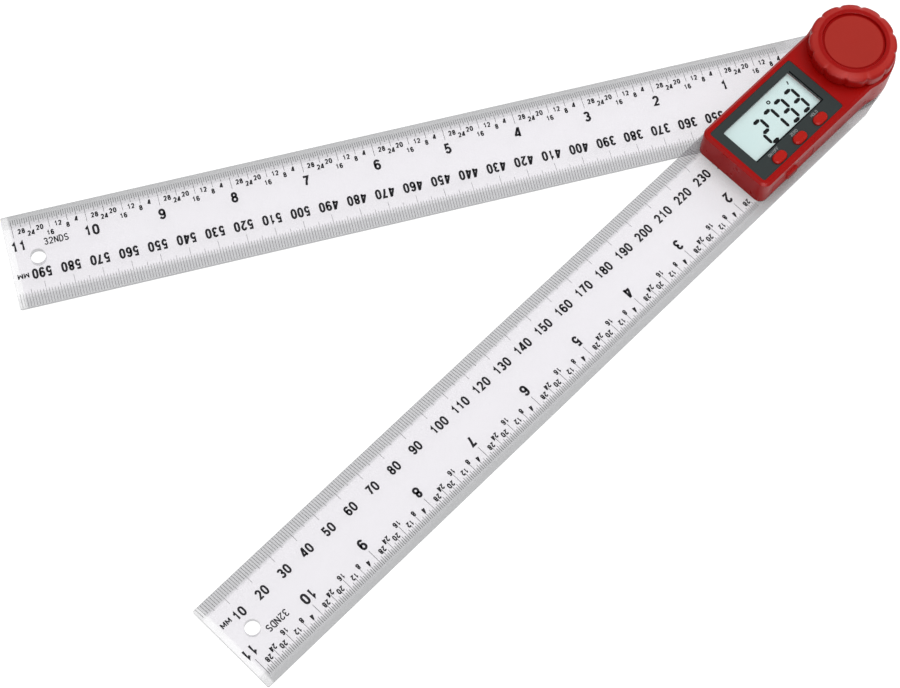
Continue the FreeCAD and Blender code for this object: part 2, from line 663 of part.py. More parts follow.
def button(x):
    """A push button: a round-ended bar through the plate, kept in by a flange under the deck."""
    top = PLATE_TOP + BUTTON_STAND
    bar = slot_block(x, BUTTON_Y, BUTTON_LENGTH, BUTTON_WIDTH, BUTTON_BOTTOM, top)
    bar = bar.makeChamfer(BUTTON_TOP_CHAMFER, edges_at(bar, top))
    half_length, half_width = BUTTON_LENGTH / 2 + BUTTON_FLANGE, BUTTON_WIDTH / 2 + BUTTON_FLANGE
    flange_top = DECK_BOTTOM - BUTTON_FLANGE_GAP
    flange = block(x - half_length, x + half_length, BUTTON_Y - half_width, BUTTON_Y + half_width,
                   flange_top - BUTTON_FLANGE_THICKNESS, flange_top)
    return bar.fuse(flange).removeSplitter()


def drawer_nub():
    """The thumb nub on the drawer's front, with its edges broken where a finger meets them."""
    x = DRAWER_X + NUB_SHIFT_X
    middle = DRAWER_BOTTOM + DRAWER_FRONT_HEIGHT / 2 + NUB_RISE
    face = CASE_HALF_WIDTH + NUB_STAND
    nub = block(x - NUB_LENGTH / 2, x + NUB_LENGTH / 2, CASE_HALF_WIDTH - CASE_WALL / 2, face,
                middle - NUB_HEIGHT / 2, middle + NUB_HEIGHT / 2)
    return nub.makeChamfer(NUB_CHAMFER, edges_facing_out(nub, face))


def battery_drawer():
    """The drawer: a tray round the cell, with a front flush with the wall and a thumb nub."""
    back = CELL_Y - CELL_RADIUS - CELL_FIT - DRAWER_BACK_WALL
    low_x, high_x = DRAWER_X - DRAWER_HALF, DRAWER_X + DRAWER_HALF
    rim_top = CELL_TOP - DRAWER_RIM_DROP
    tray = block(low_x, high_x, back, CASE_INSIDE_Y, DRAWER_BOTTOM, rim_top)
    front = block(low_x, high_x, CASE_INSIDE_Y, CASE_HALF_WIDTH, DRAWER_BOTTOM,
                  DRAWER_BOTTOM + DRAWER_FRONT_HEIGHT)
    drawer = tray.fuse([front, drawer_nub()]).removeSplitter()
    drawer = drawer.cut(disc(CELL_RADIUS + CELL_FIT, CELL_BOTTOM, rim_top + OVERRUN,
                             DRAWER_X, CELL_Y))
    drawer = drawer.cut(disc(DRAWER_PUSH_HOLE_RADIUS, DRAWER_BOTTOM - OVERRUN,
                             CELL_BOTTOM + OVERRUN, DRAWER_X, CELL_Y))
    notch = CONTACT_WIDTH / 2 + CONTACT_NOTCH_GAP
    return drawer.cut(block(DRAWER_X - notch, DRAWER_X + notch, back - OVERRUN, CELL_Y,
                            CELL_BOTTOM, rim_top + OVERRUN))


def coin_cell():
    """The cell: a can with the raised cap of its other pole."""
    can_top = CELL_TOP - CELL_CAP_HEIGHT
    can = disc(CELL_RADIUS, CELL_BOTTOM, can_top, DRAWER_X, CELL_Y)
    cap = disc(CELL_RADIUS - CELL_CAP_INSET, can_top, CELL_TOP, DRAWER_X, CELL_Y)
    return can.fuse(cap).removeSplitter()


def contact_strip(points):
    """A bent strip of spring metal over the middle of the cell, outlined in Y and Z."""
    low_x = DRAWER_X - CONTACT_WIDTH / 2
    outline = [Vector(low_x, y, z) for y, z in points + points[:1]]
    return Part.Face(Part.makePolygon(outline)).extrude(RIGHT * CONTACT_WIDTH)


def cell_top_contact():
    """A leaf spring from the board's underside down to the top of the cell."""
    tip = CELL_TOP + CONTACT_GAP
    slope_end = CELL_Y + CONTACT_SLOPE_LENGTH
    pad_end = CELL_Y - CONTACT_PAD_LENGTH
    under = BOARD_BOTTOM - CONTACT_THICKNESS
    return contact_strip([(pad_end, BOARD_BOTTOM), (pad_end, under), (CELL_Y, under),
                          (slope_end, tip), (slope_end, tip + CONTACT_THICKNESS),
                          (CELL_Y, BOARD_BOTTOM)])


def cell_side_contact():
    """A hooked leaf that stands behind the cell and meets its rim."""
    face = CELL_Y - CELL_RADIUS - CONTACT_GAP
    back = face - CONTACT_THICKNESS
    pad_end = back - CONTACT_PAD_LENGTH
    foot = CELL_BOTTOM + CONTACT_FOOT_RISE
    under = BOARD_BOTTOM - CONTACT_THICKNESS
    return contact_strip([(pad_end, BOARD_BOTTOM), (pad_end, under), (back, under), (back, foot),
                          (face, foot), (face, BOARD_BOTTOM)])


def lobed_block(low, high):
    """The knob's grip: one convex arc for each lobe, meeting at shallow notches."""
    step = 2 * math.pi / KNOB_LOBES

    def place(radius, steps):
        return Vector(radius * math.cos(steps * step), radius * math.sin(steps * step), low)

    arcs = [arc(place(KNOB_NOTCH_RADIUS, k), place(KNOB_CREST_RADIUS, k + 0.5),
                place(KNOB_NOTCH_RADIUS, k + 1)) for k in range(KNOB_LOBES)]
    return Part.Face(Part.Wire(arcs)).extrude(UP * (high - low))


def knob_ribs(reach):
    """The spokes under the knob's roof, from its boss to its skirt."""
    half = KNOB_RIB_WIDTH / 2
    ribs = []
    for k in range(KNOB_RIB_COUNT):
        rib = block(STUD_RADIUS, reach, -half, half, KNOB_BOTTOM + KNOB_RIB_SINK, KNOB_CEILING)
        rib.rotate(ORIGIN, UP, 360 * k / KNOB_RIB_COUNT)
        ribs.append(rib)
    return ribs


def lock_knob():
    """The scalloped knob: raised ring, recess for the inlay, hollow skirt, ribs and nut pocket."""
    lathe = revolved([(0, KNOB_BOTTOM), (KNOB_CREST_RADIUS, KNOB_BOTTOM),
                      (KNOB_CREST_RADIUS, KNOB_TOP - KNOB_SHOULDER_DROP),
                      (KNOB_RING_OUTER_RADIUS, KNOB_TOP), (0, KNOB_TOP)])
    knob = lobed_block(KNOB_BOTTOM, KNOB_TOP).common(lathe)
    knob = knob.cut(disc(KNOB_RING_INNER_RADIUS, INLAY_BOTTOM, KNOB_TOP + OVERRUN))
    knob = knob.makeChamfer(KNOB_RING_CHAMFER, edges_at(knob, KNOB_TOP))
    cavity_radius = KNOB_NOTCH_RADIUS - KNOB_SKIRT
    knob = knob.cut(disc(cavity_radius, KNOB_BOTTOM - OVERRUN, KNOB_CEILING))
    boss = disc(KNOB_BOSS_RADIUS, KNOB_BOSS_BOTTOM, KNOB_CEILING)
    knob = knob.fuse([boss] + knob_ribs(cavity_radius)).removeSplitter()
    low = KNOB_BOSS_BOTTOM - OVERRUN
    knob = knob.cut(hexagon(NUT_ACROSS_FLATS + 2 * NUT_FIT, low, KNOB_BOSS_BOTTOM + NUT_HEIGHT))
    return knob.cut(disc(STUD_RADIUS + STUD_FIT, low, KNOB_BORE_TOP))


def knob_nut():
    """The hexagon nut pressed into the knob, which runs on the stud."""
    low, high = KNOB_BOSS_BOTTOM, KNOB_BOSS_BOTTOM + NUT_HEIGHT
    nut = hexagon(NUT_ACROSS_FLATS, low, high)
    return nut.cut(disc(STUD_RADIUS + STUD_FIT, low - OVERRUN, high + OVERRUN))


def knob_inlay():
    """The disc that closes the knob's recess."""
    return disc(KNOB_RING_INNER_RADIUS - INLAY_FIT, INLAY_BOTTOM, INLAY_TOP)


def thrust_washer():
    """The washer under the knob, whose flat-sided hole keeps it from turning on the stud."""
    washer = disc(WASHER_RADIUS, DECK_TOP, WASHER_TOP)
    return turned_to_rest(washer.cut(stud_bar(STUD_FIT, DECK_TOP - OVERRUN, WASHER_TOP + OVERRUN)))


PIECES = [base_arm, upper_case, lower_case, case_screws, display_plate, display_lens,
          display_glass, zebra_strips, main_board, controller_blob, button_switches,
          cell_top_contact, cell_side_contact, swing_arm, back_cap, cap_screws, pivot_hub,
          pivot_stud, encoder_rotor, friction_ring, thrust_washer, lock_knob, knob_nut,
          knob_inlay, battery_drawer, coin_cell]


def main():
    os.makedirs("parts", exist_ok=True)
    made = {make.__name__: make() for make in PIECES}
    for name, x in zip(BUTTON_NAMES, BUTTON_XS):
        made[name] = button(x)
    for name, shape in made.items():
        shape.exportStep(f"parts/{name}.step")
        box = shape.BoundBox
        print(f"{name:18s} solids {len(shape.Solids)} valid {shape.isValid()} "
              f"volume {shape.Volume:9.1f} z {box.ZMin:6.2f} to {box.ZMax:6.2f}")


main()
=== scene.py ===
# %% [markdown]
# # A digital angle finder with two rule arms
#
# The real object is two clear acrylic rules that turn about one pivot. A red moulded housing on the
# upper rule carries a display, three push buttons and a drawer for the coin cell, and a scalloped
# knob over the pivot locks the angle.
#
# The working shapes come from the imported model, which is the frame of this scene: each of its parts
# lies where it belongs, in metres. This file gives every part its finish, rounds the edges that a
# mould would round, turns the knob by a rule, and prints the scales.

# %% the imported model
import json
import math
import bmesh
import bpy
from mathutils import Matrix, Quaternion, Vector

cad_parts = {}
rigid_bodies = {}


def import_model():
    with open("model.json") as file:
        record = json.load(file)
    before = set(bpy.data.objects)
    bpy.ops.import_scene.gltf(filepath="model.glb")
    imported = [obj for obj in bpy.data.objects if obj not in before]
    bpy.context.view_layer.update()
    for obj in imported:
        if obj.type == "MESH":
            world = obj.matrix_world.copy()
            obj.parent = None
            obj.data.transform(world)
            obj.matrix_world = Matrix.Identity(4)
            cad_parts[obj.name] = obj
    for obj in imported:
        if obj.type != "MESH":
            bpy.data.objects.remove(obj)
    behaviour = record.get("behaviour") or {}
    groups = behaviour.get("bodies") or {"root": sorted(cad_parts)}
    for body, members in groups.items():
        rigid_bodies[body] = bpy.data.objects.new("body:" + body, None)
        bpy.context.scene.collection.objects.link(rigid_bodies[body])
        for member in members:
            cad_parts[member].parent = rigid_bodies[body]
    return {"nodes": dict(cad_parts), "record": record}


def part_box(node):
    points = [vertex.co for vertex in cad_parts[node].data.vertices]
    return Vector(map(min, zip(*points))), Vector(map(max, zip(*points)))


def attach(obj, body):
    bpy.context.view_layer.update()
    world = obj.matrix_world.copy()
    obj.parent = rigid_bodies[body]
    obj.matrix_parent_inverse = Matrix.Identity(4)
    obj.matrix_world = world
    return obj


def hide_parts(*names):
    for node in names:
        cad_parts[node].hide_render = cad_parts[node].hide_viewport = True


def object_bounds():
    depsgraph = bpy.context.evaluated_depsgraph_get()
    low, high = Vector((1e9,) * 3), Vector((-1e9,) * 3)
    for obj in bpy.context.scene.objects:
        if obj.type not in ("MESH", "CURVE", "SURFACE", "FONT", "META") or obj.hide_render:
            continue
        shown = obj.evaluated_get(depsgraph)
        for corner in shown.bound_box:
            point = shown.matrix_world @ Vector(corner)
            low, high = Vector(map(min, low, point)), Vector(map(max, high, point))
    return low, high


for leftover in list(bpy.data.objects):
    bpy.data.objects.remove(leftover)
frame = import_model()
cad_low, cad_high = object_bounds()

MM = 0.001


def mm(*lengths):
    """Lengths given in millimetres, as metres."""
    return tuple(length * MM for length in lengths)


NODES = frame["nodes"]
RECORD = frame["record"]
BODY_OF = {node: body for body, nodes in RECORD["behaviour"]["bodies"].items() for node in nodes}
SLOT_OF = {part["node"]: part["material_slot"] for part in RECORD["subparts"]}

# %% [markdown]
# ## Measures read from the model
#
# Everything that this scene adds sits on a part of the model, so its place is worked out from that
# part's box. The hanging holes are mounts of the model: their places give the angle between the
# arms and how far from a tip each hole lies.

# %% levels, widths and the angle at rest
def lowest(node):
    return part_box(node)[0]


def highest(node):
    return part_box(node)[1]


MOUNTS = {mount["name"]: mount for mount in RECORD["mounts"]}
BASE_TOP = highest("base_arm").z
SWING_TOP = highest("swing_arm").z
ARM_LENGTH = highest("base_arm").x
ARM_HALF_WIDTH = highest("base_arm").y
CASE_END = highest("upper_case").x
CASE_HALF_WIDTH = -lowest("upper_case").y
swing_hole = MOUNTS["swing_tip_hole"]["pos_m"]
REST_TURN = math.atan2(swing_hole[1], swing_hole[0])
print(f"arms {ARM_LENGTH / MM:.0f} mm long, {math.degrees(-REST_TURN):.1f} degrees apart")

# %% [markdown]
# ## The camera
#
# The printed scales in the photograph fix the camera: one position, one lens and one small roll put
# every tenth millimetre mark where the photograph has it. The camera is written as what it aims at,
# how far off it is and how it is tipped, which is easier to read than a matrix.

# %% the camera
CAMERA_AIM = Vector((175.48, -23.98, 7.4)) * MM
CAMERA_DISTANCE = 817.9 * MM
CAMERA_HEADING = math.radians(-140.73)
CAMERA_DIP = math.radians(67.37)
CAMERA_ROLL = math.radians(5.56)
LENS_LENGTH = 97.52
SENSOR_WIDTH = 36.0

look = Vector((math.cos(CAMERA_HEADING) * math.cos(CAMERA_DIP),
               math.sin(CAMERA_HEADING) * math.cos(CAMERA_DIP), -math.sin(CAMERA_DIP)))
lens = bpy.data.cameras.new("bench_camera")
lens.sensor_fit = "HORIZONTAL"
lens.sensor_width = SENSOR_WIDTH
lens.lens = LENS_LENGTH
camera = bpy.data.objects.new("bench_camera", lens)
camera.rotation_mode = "QUATERNION"
camera.location = CAMERA_AIM - look * CAMERA_DISTANCE
camera.rotation_quaternion = look.to_track_quat("-Z", "Y") @ Quaternion((0, 0, 1), CAMERA_ROLL)
bpy.context.scene.collection.objects.link(camera)
bpy.context.scene.camera = camera
print(f"camera {camera.location.z / MM:.0f} mm above the bench")

# %% [markdown]
# ## Nodes written as sums
#
# A material or a Geometry Nodes tree is a graph, and a graph of sums is hard to read when every plus
# is three lines of code. So one small class stands for an output socket and overloads the
# arithmetic signs: writing `1 - mask` adds a Math node and hands back its output. Every other node
# comes from one method, which takes the node's type, its settings and its sockets.

# %% a socket that can be added and multiplied
class Wire:
    """One output socket of a graph. Arithmetic on it adds Math nodes."""

    def __init__(self, graph, socket):
        self.graph = graph
        self.socket = socket

    def at(self, name):
        """Another output of the same node."""
        outputs = [socket for socket in self.socket.node.outputs if socket.name == name]
        return Wire(self.graph, outputs[0])

    def maths(self, operation, left, right):
        return self.graph.node("ShaderNodeMath", {"operation": operation}, {0: left, 1: right})

    def __lt__(self, other):
        return self.maths("LESS_THAN", self, other)

    def __mod__(self, other):
        return self.maths("FLOORED_MODULO", self, other)

    def __abs__(self):
        return self.maths("ABSOLUTE", self, 0)

    def most(self, other):
        return self.maths("MAXIMUM", self, other)

    def least(self, other):
        return self.maths("MINIMUM", self, other)


def both_ways(operation):
    """An arithmetic sign with the wire on its left, and with the wire on its right."""
    return (lambda wire, other: wire.maths(operation, wire, other),
            lambda wire, other: wire.maths(operation, other, wire))


Wire.__add__, Wire.__radd__ = both_ways("ADD")
Wire.__sub__, Wire.__rsub__ = both_ways("SUBTRACT")
Wire.__mul__, Wire.__rmul__ = both_ways("MULTIPLY")
Wire.__truediv__, Wire.__rtruediv__ = both_ways("DIVIDE")


# %% a graph that makes its nodes in one way
class Graph:
    """A node tree, built by calls of one method."""

    def __init__(self, tree):
        self.tree = tree

    def node(self, kind, settings=None, sockets=None):
        """Adds a node, sets it first and then its sockets, and returns its first output."""
        made = self.tree.nodes.new(kind)
        for name, value in (settings or {}).items():
            setattr(made, name, value)
        for name, value in (sockets or {}).items():
            self.feed(self.input_of(made, name), value)
        outputs = [socket for socket in made.outputs if socket.enabled]
        return Wire(self, outputs[0]) if outputs else made

    def input_of(self, made, name):
        if isinstance(name, int):
            return made.inputs[name]
        return [socket for socket in made.inputs if socket.name == name and socket.enabled][0]

    def feed(self, socket, value):
        for part in value if isinstance(value, list) else [value]:
            if isinstance(part, Wire):
                self.tree.links.new(part.socket, socket)
            else:
                socket.default_value = part

    def apart(self, vector):
        """The X, Y and Z of a vector."""
        split = self.node("ShaderNodeSeparateXYZ", {}, {"Vector": vector})
        return split.at("X"), split.at("Y"), split.at("Z")

    def joined(self, x, y, z):
        return self.node("ShaderNodeCombineXYZ", {}, {"X": x, "Y": y, "Z": z})

    def from_axis(self, place):
        """How far a place is from the Z axis."""
        x, y, _ = self.apart(place)
        return self.node("ShaderNodeVectorMath", {"operation": "LENGTH"}, {0: self.joined(x, y, 0)})

    def rise(self, value, low, high):
        """0 up to low, 1 from high on, and a smooth rise between them."""
        return self.node("ShaderNodeMapRange", {"interpolation_type": "SMOOTHSTEP"},
                         {"Value": value, "From Min": low, "From Max": high})


def cleared(owner):
    """The empty graph of a world or a material."""
    owner.use_nodes = True
    owner.node_tree.nodes.clear()
    return Graph(owner.node_tree)


# %% [markdown]
# ## The bench and the light
#
# The photograph is a product shot: a white ground, no hard shadow, and light from everywhere with a
# little more from behind the camera. The world gives the even part and two soft panels the rest.
# The ground is white to the camera because its colour says so, not because more light falls on it:
# what the camera or a clear part sees is mostly a plain white, and the rest is an honest diffuse
# floor that keeps the object's shadow. The daylight comes mostly from overhead, so walls are darker
# than tops. A gloss meets a dim band half way up the sky, a bright box in it on the camera's side, and
# darkness elsewhere, so level faces keep their deep red and only rounded shoulders shine. From below
# the floor lets the view through, so that the underside can be looked at.

# %% the world
HORIZON_LIGHT = 0.3
ZENITH_LIGHT = 0.95
HORIZON_GLOSS = 0.02
SKY_BAND_GLOSS = 0.8
SOFT_BOX_GLOSS = 4.2
SOFT_BOX_TOWARDS = (0.6, 0.49, 0.63)
WHITE = (1, 1, 1, 1)

world = bpy.data.worlds.new("studio")
sky = cleared(world)
ray = sky.node("ShaderNodeLightPath")
heading = sky.node("ShaderNodeTexCoord").at("Generated")
nearness = sky.node("ShaderNodeVectorMath", {"operation": "DOT_PRODUCT"},
                    {0: heading, 1: SOFT_BOX_TOWARDS})
_, _, height = sky.apart(heading)
sky_band = sky.rise(height, 0.1, 0.4) * (1 - sky.rise(height, 0.5, 0.8))
soft_box = HORIZON_GLOSS + SKY_BAND_GLOSS * sky_band + SOFT_BOX_GLOSS * sky.rise(nearness, 0.78, 0.98)
overhead = HORIZON_LIGHT + (ZENITH_LIGHT - HORIZON_LIGHT) * sky.rise(height, 0, 0.9)
daylight = sky.node("ShaderNodeBackground", {}, {"Color": WHITE, "Strength": overhead})
mirrored = sky.node("ShaderNodeBackground", {}, {"Color": WHITE, "Strength": soft_box})
backdrop = sky.node("ShaderNodeBackground", {}, {"Color": WHITE, "Strength": 1.0})
lit = sky.node("ShaderNodeMixShader", {}, {0: ray.at("Is Glossy Ray"), 1: daylight, 2: mirrored})
straight = ray.at("Is Camera Ray").most(ray.at("Is Transmission Ray"))
either = sky.node("ShaderNodeMixShader", {}, {0: straight, 1: lit, 2: backdrop})
sky.node("ShaderNodeOutputWorld", {}, {"Surface": either})
bpy.context.scene.world = world
bpy.context.scene.view_settings.view_transform = "Standard"

# %% the floor
FLOOR_HALF_WIDTH = 3.0
FLOOR_DROP = 0.05 * MM
FLOOR_GREY = (0.82, 0.82, 0.82, 1)
FLOOR_WHITE_SHARE = 0.7
FLOOR_WHITE_STRENGTH = 1.3

floor_mesh = bpy.data.meshes.new("floor")
floor_corners = [(x * FLOOR_HALF_WIDTH, y * FLOOR_HALF_WIDTH, -FLOOR_DROP)
                 for x, y in ((-1, -1), (1, -1), (1, 1), (-1, 1))]
floor_mesh.from_pydata(floor_corners, [], [(0, 1, 2, 3)])
paint = bpy.data.materials.new("floor")
ground = cleared(paint)
ray = ground.node("ShaderNodeLightPath")
straight = ray.at("Is Camera Ray").most(ray.at("Is Transmission Ray"))
matt = ground.node("ShaderNodeBsdfDiffuse", {}, {"Color": FLOOR_GREY})
white = ground.node("ShaderNodeEmission", {}, {"Color": WHITE, "Strength": FLOOR_WHITE_STRENGTH})
upper = ground.node("ShaderNodeMixShader", {}, {0: straight * FLOOR_WHITE_SHARE, 1: matt, 2: white})
below = ground.node("ShaderNodeNewGeometry").at("Backfacing")
clear = ground.node("ShaderNodeBsdfTransparent")
sheet = ground.node("ShaderNodeMixShader", {}, {0: below, 1: upper, 2: clear})
ground.node("ShaderNodeOutputMaterial", {}, {"Surface": sheet})
floor_mesh.materials.append(paint)
floor = bpy.data.objects.new("floor", floor_mesh)
bpy.context.scene.collection.objects.link(floor)


# %% the two soft panels
OBJECT_MIDDLE = (cad_low + cad_high) / 2
# for each, its place from the object's middle and its width in metres, and its power in watts
SOFT_PANELS = {"near_panel": ((0.55, 0.35, 1.35), 0.9, 3.0), "far_panel": ((-0.9, 0.25, 1.1), 0.7, 6.0)}


def soft_panel(name, offset, width, power):
    """A square lamp that faces the object and leaves no reflection of its own."""
    lamp = bpy.data.lights.new(name, "AREA")
    lamp.shape = "SQUARE"
    lamp.size = width
    lamp.energy = power
    panel = bpy.data.objects.new(name, lamp)
    panel.rotation_mode = "QUATERNION"
    panel.location = OBJECT_MIDDLE + Vector(offset)
    panel.rotation_quaternion = (-Vector(offset)).to_track_quat("-Z", "Y")
    panel.visible_glossy = False
    bpy.context.scene.collection.objects.link(panel)


for name, setting in SOFT_PANELS.items():
    soft_panel(name, *setting)
print("two panels, the world and the floor are set")

# %% [markdown]
# ## Finishes
#
# A moulded part is never one flat colour. The pigment drifts a little over centimetres, the gloss is
# uneven, and the tool leaves a fine texture that only shows in the highlights. All three come from
# noise in the part's own coordinates, at real sizes in millimetres, so the finish sits still when
# the part moves. What is the same everywhere, such as the specular level, is set on the shader.

# %% a finish built on one shader
def seen(red, green, blue):
    """A colour written as a picture shows it, 0 to 255, made linear for the shader."""
    def linear(level):
        share = level / 255
        return share / 12.92 if share <= 0.04045 else ((share + 0.055) / 1.055) ** 2.4
    return (linear(red), linear(green), linear(blue), 1)


def times(colour, factor):
    return tuple(min(1, level * factor) for level in colour[:3]) + (1,)


class Finish(Graph):
    """A material on one Principled shader, patterned in the object's own coordinates."""

    def __init__(self, name, **fixed):
        self.material = bpy.data.materials.new(name)
        self.material.use_nodes = True
        super().__init__(self.material.node_tree)
        self.tree.nodes.clear()
        self.shader = self.node("ShaderNodeBsdfPrincipled")
        self.node("ShaderNodeOutputMaterial", {}, {"Surface": self.shader})
        self.place = self.node("ShaderNodeTexCoord").at("Object")
        self.set(**fixed)

    def set(self, **sockets):
        """Feeds the shader: spaces in a socket's name are written as underscores."""
        for name, value in sockets.items():
            self.feed(self.shader.socket.node.inputs[name.replace("_", " ")], value)
        return self

    def noise(self, size, detail=2, stretch=(1, 1, 1)):
        """Noise from 0 to 1 whose lumps measure size, shrunk along an axis by stretch."""
        place = self.node("ShaderNodeMapping", {}, {"Vector": self.place, "Scale": stretch})
        return self.node("ShaderNodeTexNoise", {},
                         {"Vector": place, "Scale": 1 / size, "Detail": detail, "Roughness": 0.5})

    def mix(self, share, first, second):
        return self.node("ShaderNodeMix", {"data_type": "RGBA"},
                         {"Factor": share, "A": first, "B": second})

    def bump(self, height, depth):
        return self.node("ShaderNodeBump", {}, {"Height": height, "Distance": depth, "Strength": 1})


def moulded(name, colour, roughness, grain=0.35 * MM, depth=0.012 * MM, drift=0.06, zone=None,
            zone_colour=None, **fixed):
    """Moulded plastic: drifting pigment, uneven gloss, the tool's texture, and a zone of its own."""
    finish = Finish(name, **fixed)
    cloud = finish.noise(14 * MM)
    fine = finish.noise(grain, 3)
    pigment = finish.mix(cloud, times(colour, 1 - drift), times(colour, 1 + drift))
    if zone:
        pigment = finish.mix(zone(finish), pigment, zone_colour)
    finish.set(Base_Color=pigment, Roughness=roughness - 0.02 + 0.04 * finish.noise(3 * MM, 3),
               Normal=finish.bump(fine, depth))
    return finish.material


def round_the_plateau(finish):
    """1 outside the inlay's plateau."""
    return finish.rise(finish.from_axis(finish.place), INLAY_PLATEAU - 0.15 * MM, INLAY_PLATEAU + 0.1 * MM)


def past_the_wall(finish):
    """1 where the drawer's thumb nub stands out of the housing's wall."""
    _, y, _ = finish.apart(finish.place)
    return finish.rise(y, CASE_HALF_WIDTH, CASE_HALF_WIDTH + 0.1 * MM)


def over_the_shoulder(finish):
    """1 on the knob's rounded shoulder outside its raised ring, where it faces up: the mask of a painted
    highlight.
    """
    reach = finish.from_axis(finish.place)
    _, _, upright = finish.apart(finish.node("ShaderNodeNewGeometry").at("Normal"))
    ring = finish.rise(reach, *mm(12.3, 13.0)) * (1 - 0.8 * finish.rise(reach, *mm(14.1, 15.0)))
    return ring * finish.rise(upright, 0.15, 0.5)


# %% the red mouldings
INLAY_PLATEAU = 10.25 * MM
FINISHES = {
    "red_shell": moulded("red_shell", seen(156, 7, 4), 0.28, Specular_IOR_Level=0.25),
    # the knob's zone is a painted highlight: lighter red on the upward-facing shoulder
    "red_knob": moulded("red_knob", seen(152, 7, 4), 0.3, zone=over_the_shoulder,
                        zone_colour=seen(172, 40, 33), Specular_IOR_Level=0.22),
    "red_inlay": moulded("red_inlay", seen(160, 42, 34), 0.6, grain=0.2 * MM, depth=0.03 * MM,
                         zone=round_the_plateau, zone_colour=seen(148, 6, 4), Specular_IOR_Level=0.12),
    "red_button": moulded("red_button", seen(172, 22, 12), 0.3, Specular_IOR_Level=0.25),
    "dark_red_drawer": moulded("dark_red_drawer", seen(160, 10, 7), 0.5, zone=past_the_wall,
                               zone_colour=seen(118, 8, 6), Specular_IOR_Level=0.25),
    "plate_print": moulded("plate_print", seen(52, 58, 58), 0.4, grain=0.5 * MM,
                           Specular_IOR_Level=0.25),
    "black_rubber": moulded("black_rubber", seen(34, 34, 35), 0.75),
    "resin_black": moulded("resin_black", seen(24, 24, 26), 0.35, grain=2 * MM, depth=0.05 * MM),
    "switch_white": moulded("switch_white", seen(226, 226, 220), 0.5),
    "grey_hub": moulded("grey_hub", seen(118, 119, 122), 0.5),
    "white_ring": moulded("white_ring", seen(236, 236, 232), 0.45),
}


# %% [markdown]
# ## Metals and the circuit board
#
# Turned and rolled metal shows fine lines: noise squeezed along one axis gives them, in the
# roughness and in a shallow bump. The board is green solder mask over copper tracks. A brick pattern
# is enough for tracks on a board that only shows when the case is open.

# %% metals, the board, the window and the display glass
def metal(name, colour, roughness, stretch, **fixed):
    """Metal with fine lines left by the tool, drawn out across the stretched axes."""
    finish = Finish(name, Metallic=1.0, **fixed)
    lines = finish.noise(1.2 * MM, 3, stretch)
    finish.set(Base_Color=finish.mix(finish.noise(9 * MM), times(colour, 0.9), times(colour, 1.08)),
               Roughness=roughness - 0.08 + 0.16 * lines,
               Normal=finish.bump(lines, 0.008 * MM))
    return finish.material


def circuit_board(name):
    """Green solder mask with raised copper tracks under it."""
    finish = Finish(name, Specular_IOR_Level=0.5)
    track_gap = 1.6 * MM
    tracks = finish.node("ShaderNodeTexBrick", {"offset": 0.37},
                         {"Vector": finish.place, "Scale": 1 / track_gap, "Mortar Size": 0.12,
                          "Color1": (0, 0, 0, 1), "Color2": (0, 0, 0, 1), "Mortar": WHITE})
    copper = finish.node("ShaderNodeRGBToBW", {}, {"Color": tracks})
    finish.set(Base_Color=finish.mix(copper, seen(18, 84, 50), seen(44, 122, 66)),
               Roughness=0.35 + 0.1 * finish.noise(2 * MM), Normal=finish.bump(copper, 0.03 * MM))
    return finish.material


def clear_window(name):
    """A polished clear window: see-through from in front, with a painted sheen that grows towards the
    side.
    """
    finish = Finish(name, Specular_IOR_Level=0.5)
    haze = finish.noise(6 * MM)
    turned = finish.node("ShaderNodeLayerWeight", {}, {"Blend": 0.5}).at("Facing")
    # the near-white alpha rises at grazing angles: a painted sheen
    finish.set(Base_Color=finish.mix(haze, seen(238, 246, 248), seen(246, 250, 250)),
               Roughness=0.06 + 0.04 * haze, Alpha=0.004 + 0.004 * haze + 0.3 * turned * turned * turned)
    return finish.material


def display_pane(name):
    """The resting liquid crystal: pale blue-green over a mirror foil, with a faint painted glow of the
    same colour so it looks lit.
    """
    # a faint painted glow: the pane emits its own pale colour
    finish = Finish(name, Specular_IOR_Level=0.2, Emission_Strength=0.1)
    cloud = finish.noise(20 * MM, 1)
    pale = finish.mix(cloud, seen(188, 210, 210), seen(202, 218, 216))
    finish.set(Base_Color=pale, Emission_Color=pale, Roughness=0.3 + 0.1 * finish.noise(1 * MM))
    return finish.material


FINISHES |= {
    "steel_screw": metal("steel_screw", seen(196, 196, 198), 0.32, (1, 1, 0.2)),
    "steel_stud": metal("steel_stud", seen(176, 177, 180), 0.36, (0.15, 0.15, 3)),
    "spring_steel": metal("spring_steel", seen(214, 211, 200), 0.3, (4, 0.2, 1)),
    "cell_steel": metal("cell_steel", seen(206, 206, 204), 0.28, (0.2, 4, 1)),
    "brass_nut": metal("brass_nut", seen(206, 170, 98), 0.34, (0.3, 0.3, 3)),
    "board_green": circuit_board("board_green"),
    "clear_lens": clear_window("clear_lens"),
    "display_pane": display_pane("display_pane"),
}

# %% [markdown]
# ## Clear acrylic for the rules
#
# A clear rule on white paper is a little darker than the paper, and faintly lavender. Its bevelled
# edges get a painted shade, for the light that runs sideways through the plastic there: a soft grey
# band on the inch side, and a paler one under the millimetre marks. Side faces get a greyer painted
# shade still, chosen by which way a face turns. The last two millimetres at the tip get a painted
# highlight, lighter. The bevel, band and tip zones are worked out from the distance along the arm and
# across it. The swing arm's coordinates are turned back by the angle at rest, so both arms share one
# rule. Beside the housing the base arm gets a painted shade and a painted reflection of the dark wall:
# it darkens there by as much of the sky as the wall hides.

